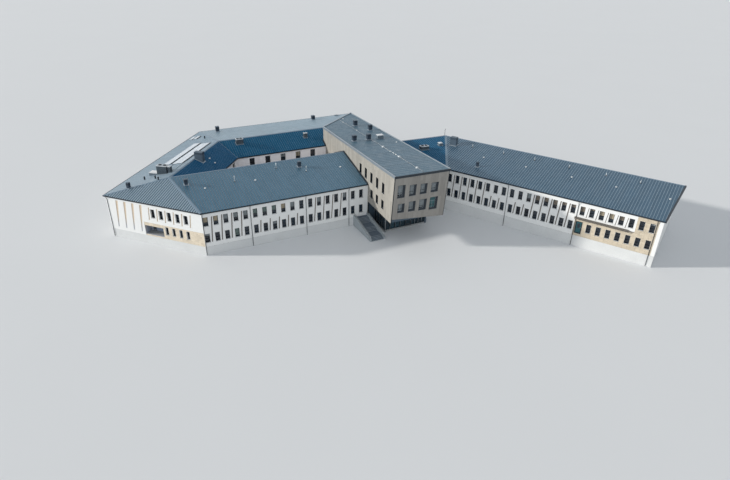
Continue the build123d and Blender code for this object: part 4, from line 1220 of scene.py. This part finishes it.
def loose_parts(name):
    """The corner points of each separate solid of a CAD piece."""
    mesh = nodes[name].data
    corners = [tuple(round(value, 5) for value in vertex.co) for vertex in mesh.vertices]
    root = {corner: corner for corner in corners}

    def top_of_group(corner):
        while root[corner] != corner:
            corner = root[corner]
        return corner

    for edge in mesh.edges:
        first, second = [top_of_group(corners[index]) for index in edge.vertices]
        root[first] = second
    groups = {}
    for corner in root:
        groups.setdefault(top_of_group(corner), []).append(Vector(corner))
    return list(groups.values())


class Box:
    """A box on a roof: its top corners in order, and the roof's plane under it."""

    def __init__(self, points):
        high = max(point.z for point in points)
        top = [point for point in points if point.z > high - same_level]
        self.middle = sum(top, Vector()) / len(top)
        self.corners = sorted(top, key=lambda p: math.atan2(p.y - self.middle.y, p.x - self.middle.x))
        a, b, c = [point for point in points if point.z <= high - same_level][:3]
        self.foot, self.tilt = a, (b - a).cross(c - a)
        self.sides = [self.corners[i] - self.corners[i - 1] for i in (0, 1)]
        self.sizes = [side.length / MM for side in self.sides]

    def ring(self, grow, z):
        """The outline, larger by some millimetres on each side, at a height over the top."""
        points = []
        for index, corner in enumerate(self.corners):
            before = (corner - self.corners[index - 1]).normalized()
            after = (corner - self.corners[(index + 1) % 4]).normalized()
            points.append(corner + (before + after) * grow * MM + Vector((0, 0, z * MM)))
        return points

    def foot_ring(self, grow, lift):
        """The outline on the roof's plane."""
        points = []
        for point in self.ring(grow, 0):
            gap = self.foot - point
            rise = gap.z + (self.tilt.x * gap.x + self.tilt.y * gap.y) / self.tilt.z
            points.append(point + Vector((0, 0, rise + lift * MM)))
        return points

    def collar(self, grow, height, inner):
        """Sheet laid on the roof round the box."""
        collars.loft([self.foot_ring(grow, -2), self.foot_ring(grow, height), self.foot_ring(inner, 4),
                      self.foot_ring(inner, -2)])

    def plate(self, shape, grow, low, high):
        shape.loft([self.ring(grow, low), self.ring(grow, high)])


wide_chimney, low_box, louvred_box, fan_box, two_fan_box = 100, 82, 85, 105, 150
chimney_caps, collars, louvres, white_tops = Shape(), Shape(), Shape(), Shape()
for points in loose_parts("chimneys"):
    box = Box(points)
    box.collar(16, 2.5, 4)
    collars.loft([box.foot_ring(2.5, -2), box.foot_ring(2.5, 16)])
    for drop in row(14, 9, 4):
        box.plate(louvres, 2.5, -drop, 3.5 - drop)
    box.plate(louvres, -8, 0, 8)
    if max(box.sizes) > wide_chimney:
        chimney_caps.loft([box.foot_ring(1.6, -2), box.ring(1.6, 0)])
    box.plate(chimney_caps, 6, 8, 10.5)
    chimney_caps.loft([box.ring(6, 10.5), box.ring(-6, 15)])
for points in loose_parts("roof_boxes"):
    box = Box(points)
    box.collar(12, 3, 3)
    tall = (box.middle.z - min(point.z for point in box.foot_ring(0, 0))) / MM
    drop = 14
    while drop < tall - 30 and tall > louvred_box:
        box.plate(louvres, 2.5, -drop - 5, -drop)
        drop += 12
    box.plate(white_tops, 5, 0, 4)
    box.plate(collars, -9, 4, 7)
    if tall < low_box:
        box.plate(white_tops, -12, 7, 11)
    elif min(box.sizes) > fan_box:
        longest = max(box.sides, key=lambda gap: gap.length)
        for share in (-0.24, 0.24) if max(box.sizes) > two_fan_box else (0.0,):
            louvres.turn(box.middle + longest * share,
                         [(34, 6), (34, 15), (30, 15), (30, 9), (8, 9), (8, 13), (2, 14)], 20)
chimney_caps.make("chimney_caps", cap_metal, "plant_metal")
collars.make("roof_collars", trim_metal, "plant_metal")
louvres.make("louvres", dark_metal, "plant_metal")
white_tops.make("box_tops", white_metal, "plant_metal")

# Frames and cells of the solar panels, and a dark strip along their upper edge: painted shade and shadow of
# tilted racks
module_length, module_width, panel_foot = 103, 150, 13
panel_frames, panel_cells, panel_painted_shadows = Shape(), Shape(), Shape()
west_place = on_slope("west")
for first, low_edge, length, width in (
        (1306, 460, 1510, 180), (1420, 710, 1450, 255), (560, 60, 240, 95), (560, 185, 240, 95)):
    modules, tiers = round(length / module_length), max(1, round(width / module_width))
    for column in range(modules):
        for tier in range(tiers):
            s0, s1 = [first + length * (column + edge) / modules for edge in (0, 1)]
            b0, b1 = [low_edge + width * (tier + edge) / tiers for edge in (0, 1)]
            panel_cells.cell(west_place, s0 + 3, s1 - 3, b0 + 3, b1 - 3, panel_foot, panel_foot + 2.5)
            for a0, a1, c0, c1 in ((s0 + 0.7, s0 + 3.5, b0, b1), (s1 - 3.5, s1 - 0.7, b0, b1),
                                   (s0 + 3.5, s1 - 3.5, b0, b0 + 3.5), (s0 + 3.5, s1 - 3.5, b1 - 3.5, b1)):
                panel_frames.cell(west_place, a0, a1, c0, c1, panel_foot, panel_foot + 4)
    high_edge = low_edge + width
    panel_painted_shadows.cell(west_place, first, first + length, high_edge + 0.5, high_edge + 24, -1, 10)
panel_frames.make("panel_frames", mast_metal, "plant_metal")
panel_cells.make("panel_cells", panel_painted_reflection, "panel_glass")
panel_painted_shadows.make("panel_painted_shadows", dark_metal, "plant_metal")

# Masts, vents, hatches and the cable line
masts, vents, feet, hatch_frame = Shape(), Shape(), Shape(), Shape()
vent_rings = [(24, -5), (24, 5), (13, 8), (13, 14), (27, 15), (27, 19), (8, 24)]


def foot_block(place, s, back_distance, half, high):
    feet.cell(place, s - half, s + half, back_distance - half, back_distance + half, -2, high)


def mast(key, s, back_distance, height):
    place = on_slope(key)
    foot, top = place(s, back_distance, 0), place(s, back_distance, height)
    masts.tube([foot, foot + (top - foot) * 0.5, top], [6.5, 5.5, 3], 8)
    foot_block(place, s, back_distance, 13, 9)
    stay_reach, stay_top = 30, 44
    for turn in (0.5, 2.6, 4.7):
        stay = place(s + stay_reach * math.cos(turn), back_distance + stay_reach * math.sin(turn), 2)
        masts.tube([stay, place(s, back_distance, stay_top)], 1.8, 6)


def vent(centre, size=0.8):
    vents.turn(centre, [(radius * size, height * size) for radius, height in vent_rings])


tall_mast, short_mast, short_masts_back, block_pitch = 140, 75, 1200, 320
for s, back_distance in ((896, 886), (1894, 1148), (2486, 846)):
    mast("front", s, back_distance, tall_mast)
for s in (69, 866, 1620, 2408, 3200, 3892):
    mast("right", s, short_masts_back, short_mast)
for s, back_distance in ((3731, 797), (3858, 943), (3700, 520), (880, 560)):
    foot_block(west_place, s, back_distance, 12, 70)
for key, places in {
    "front": ((268, 811), (1322, 811), (3295, 804)), "west_court": ((-2324, 387), (-2398, 228)),
    "right": ((533, 825), (1563, 825), (2588, 825), (3505, 825), (4531, 825)),
    "back_court": ((-1450, 300), (-1700, 140)),
}.items():
    for s, back_distance in places:
        vent(on_slope(key)(s, back_distance, 0))
for size, places in ((1.1, ((650, -976), (650, -161), (650, 668))),
                     (0.7, ((787, 3560), (648, 3205), (658, 2265), (1105, 893)))):
    for side, reach in places:
        vent(on_bar(side, reach, 0), size)
line_side, line_start, block_corners = 650, 60 - bar_reach, ((-8, -8), (8, -8), (8, 8), (-8, 8))
line_end = bar_left_back + (bar_right_back - bar_left_back) * line_side / bar_width - 80
masts.tube([on_bar(line_side, line_start, 9), on_bar(line_side, line_end, 9)], 2.4, 6)
spot = line_start
while spot < line_end:
    feet.loft([[on_bar(line_side + side, spot + shift, lift) for side, shift in block_corners]
               for lift in (-1, 8)])
    spot += block_pitch
for key, limits, width, high in (
        ("west", (2860, 3260, 735, 1000), 12, 9), ("back", (430, 560, 30, 120), 10, 26)):
    sheet_place = on_slope(key)
    hatch_frame.window_bars(lambda s, lift, back_distance: sheet_place(s, back_distance, lift),
                            *limits, width, -1, high)
hatch_frame.make("hatch_frames", trim_metal, "plant_metal")
masts.make("masts", mast_metal, "plant_metal")
vents.make("vents", mast_metal, "plant_metal")
feet.make("mast_feet", dark_metal, "plant_metal")

# Canopy strips
canopy_strips = Shape()
for s in row(2992, 14, 75):
    canopy_strips.bar(right_place, s, s + 7, [(59, 637), (63, 637), (63, 671), (5, 671), (5, 667), (59, 667)])
canopy_strips.make("canopy_strips", canopy_brown, "frame_metal")

# Porch: a plastered panel between its door and its window; its bluish grey is painted shade in the recess
porch_panel, porch_bars = Shape(), Shape()
porch_back = -wall - 150
door_start, panel_start, panel_end, pane_foot, pane_head = 912, 990, 1176, 270, 404
porch_floor = porch_foot + 4
porch_panel.cell(end_place, panel_start, panel_end, porch_back - 8, porch_back + 5, porch_floor, 424)
porch_panel.cell(end_place, panel_end, 1328, porch_back - 8, porch_back + 5, porch_floor, pane_foot)
for s0, s1, low, width in ((door_start, panel_start, porch_floor, 8), (panel_end, 1290, pane_foot, 7)):
    porch_bars.window_bars(end_place, s0, s1, low, pane_head, width, porch_back - 4, porch_back + 6)
porch_bars.cell(end_place, 1230, 1236, porch_back - 3, porch_back + 5, pane_foot + 7, pane_head - 7)
porch_bars.tube([end_place(974, porch_back + 9, z) for z in (300, 330)], 2, 8)
porch_panel.make("porch_panel", plaster("porch_render_painted_shade", rgb(128, 140, 158)), "render")
porch_bars.make("porch_bars", frame_metal, "frame_metal")

# Glazed entrance: caps on the posts and rails, the door's rails and pull handles
post_caps = Shape()
screen_side, screen_reach, right_start, side_bay = 173, -565, 670, 135.75
storefront = (bar_point(screen_side, screen_reach), front_angle)
screen, side_screen = on_line(storefront), on_line((bar_point(screen_side, 0), bar_angle + 180))
right_limit = distance_along(storefront, meet(storefront, moved(bar_right, wall)))
right_bay = (right_limit - right_start) / 4
rails_at, side_end = (36, 298, 524), 538
for place, posts, stretches in (
    (screen, row(130, 130, 3) + [right_start + right_bay * index for index in (1, 2, 3)],
     ((4, 514), (right_start + 6, right_limit - 6))),
    (side_screen, [min(max(side_bay * index, 4), side_end) for index in range(5)], ((4, side_end),)),
):
    for s in posts:
        post_caps.cell(place, s - 3, s + 3, -0.5, 3, rails_at[0], rails_at[-1])
    for s0, s1 in stretches:
        for z in rails_at:
            post_caps.cell(place, s0, s1, -0.5, 2.4, z - 3, z + 3)
post_caps.make("post_caps", steel, "frame_metal")

door_rails, door_pulls = Shape(), Shape()
door_rails.window_bars(screen, 540, 650, 50, 284, 9, -16.4, -3.6)
door_rails.cell(screen, 549, 641, -16, -4, 59, 84)
pull_at = 636
for out, foot in ((12, -5), (-30, -15)):
    door_pulls.tube([screen(pull_at, out, z) for z in (112, 236)], 2.8, 10)
    for z in (126, 222):
        door_pulls.tube([screen(pull_at, end, z) for end in (foot, out)], 2.2, 8)
door_rails.make("entrance_door_rails", frame_metal, "door_metal", "entrance_door")
door_pulls.make("entrance_door_pulls", steel, "door_metal", "entrance_door")

side_light, side_bars, side_lever = Shape(), Shape(), Shape()
side_light.cell(right_place, 3070, 3124, -5.4, -3.8, 430, 532)
side_bars.window_bars(right_place, 3066, 3128, 426, 536, 4, -5.4, -2.6)
side_bars.cell(right_place, 3054, 3140, -5.4, -3.8, 328, 352)
side_lever.cell(right_place, 3131, 3139, -5.4, -3.2, 420, 450)
side_lever.tube([right_place(3135, -5, 438), right_place(3135, 5, 438), right_place(3119, 6, 438)], 2, 8)
side_light.make("side_door_glass", navy_glass, "window_glass", "side_door")
side_bars.make("side_door_trim", door_teal, "door_metal", "side_door")
side_lever.make("side_door_lever", steel, "door_metal", "side_door")

# Stair: a light strip on the edge of each step, and rails on both walls
stair_height, landing, going, long_going, flights = 200, 120, 32, 211, (5, 4, 4)
stair_width, side_wall, parapet = 350, 31, 245
stair_start = front_length - stair_width
rail_lifts, rail_inset = (28, 52), 8
riser = stair_height / sum(flights)
goings = [landing]
for steps in flights:
    goings += [going] * (steps - 1) + [long_going]
nosings, rails = Shape(), Shape()
front_place = on_line(front)
depth, height = 0, stair_height
for step in goings[:-1]:
    depth += step
    nosings.cell(front_place, stair_start + side_wall, stair_start + stair_width - side_wall,
                 depth - 5, depth + 1.5, height - 3, height + 1)
    height -= riser
nosings.make("stair_nosings", parapet_concrete, "concrete")


def parapet_top(distance):
    """Height of the side walls: level at the landing, then down with the steps."""
    down = (45 + riser - parapet) * (distance - landing) / (depth - landing)
    return parapet if distance < landing else parapet + down


for s in (stair_start + 15, stair_start + stair_width - 15):
    for lift in rail_lifts:
        rails.tube([front_place(s, out, parapet_top(out) + lift)
                    for out in (rail_inset, landing, depth - rail_inset)], 2.6)
    for index in range(7):
        out = rail_inset + (depth - 2 * rail_inset) * index / 6
        rails.tube([front_place(s, out, parapet_top(out) + lift) for lift in (-2, rail_lifts[-1])], 3)
rails.make("stair_rails", steel, "post_metal")

# Floor, light and camera
floor_mesh = bpy.data.meshes.new("floor")
half_floor, floor_drop = 200, -0.001
floor_mesh.from_pydata([
    (x * half_floor, y * half_floor, floor_drop) for x, y in ((-1, -1), (1, -1), (1, 1), (-1, 1))
], [], [(0, 1, 2, 3)])
floor = bpy.data.objects.new("floor", floor_mesh)
bpy.context.scene.collection.objects.link(floor)
floor_look = Look("floor", 0.9)
floor_look.colour(floor_look.shades(rgb(224, 226, 228), 0.01, floor_look.noise(0.4, 2)))
floor_mesh.materials.append(floor_look.material)

scene = bpy.context.scene
scene.view_settings.view_transform = "Standard"
world = bpy.data.worlds.new("world")
scene.world = world
world.use_nodes = True
tree = world.node_tree
sky, seen_sky = tree.nodes["Background"], tree.nodes.new("ShaderNodeBackground")
for node, colour, strength in ((sky, (0.9, 0.95, 1.0, 1), 0.5), (seen_sky, (0.9, 0.93, 0.96, 1), 1.0)):
    node.inputs["Color"].default_value = colour
    node.inputs["Strength"].default_value = strength
paths = tree.nodes.new("ShaderNodeLightPath")
choose = tree.nodes.new("ShaderNodeMixShader")
seen = paths.outputs["Is Camera Ray"]
for ray in ("Is Glossy Ray", "Is Transmission Ray"):
    either = tree.nodes.new("ShaderNodeMath")
    either.operation = "MAXIMUM"
    tree.links.new(seen, either.inputs[0])
    tree.links.new(paths.outputs[ray], either.inputs[1])
    seen = either.outputs[0]
for index, socket in enumerate((seen, sky.outputs[0], seen_sky.outputs[0])):
    tree.links.new(socket, choose.inputs[index])
tree.links.new(choose.outputs[0], tree.nodes["World Output"].inputs[0])


def lamp(name, toward, strength, angle, colour):
    data = bpy.data.lights.new(name, "SUN")
    data.energy = strength
    data.angle = math.radians(angle)
    data.color = colour
    piece = bpy.data.objects.new(name, data)
    piece.rotation_mode = "QUATERNION"
    piece.rotation_quaternion = Vector(toward).to_track_quat("Z", "Y")
    scene.collection.objects.link(piece)


lamp("key", (-0.95, -0.04, 0.3), 3.2, 3, (1.0, 0.96, 0.9))
lamp("fill", (-0.15, -0.95, 0.25), 0.72, 50, (0.92, 0.96, 1.0))

camera_data = bpy.data.cameras.new("camera")
camera_data.sensor_width = 36
camera_data.lens = 26.68
camera_data.clip_end = 1000
camera = bpy.data.objects.new("camera", camera_data)
pitch, roll = math.radians(28.67), math.radians(1.0)
forward = Vector((0, math.cos(pitch), -math.sin(pitch)))
level_up = Vector((0, math.sin(pitch), math.cos(pitch)))
level_right = Vector((1, 0, 0))
right_axis = level_right * math.cos(roll) + level_up * math.sin(roll)
up_axis = level_up * math.cos(roll) - level_right * math.sin(roll)
camera.matrix_world = Matrix.Translation((-0.7629, -12.8452, 5.540)) @ Matrix((
    right_axis, up_axis, -forward)).transposed().to_4x4()
scene.collection.objects.link(camera)
scene.camera = camera
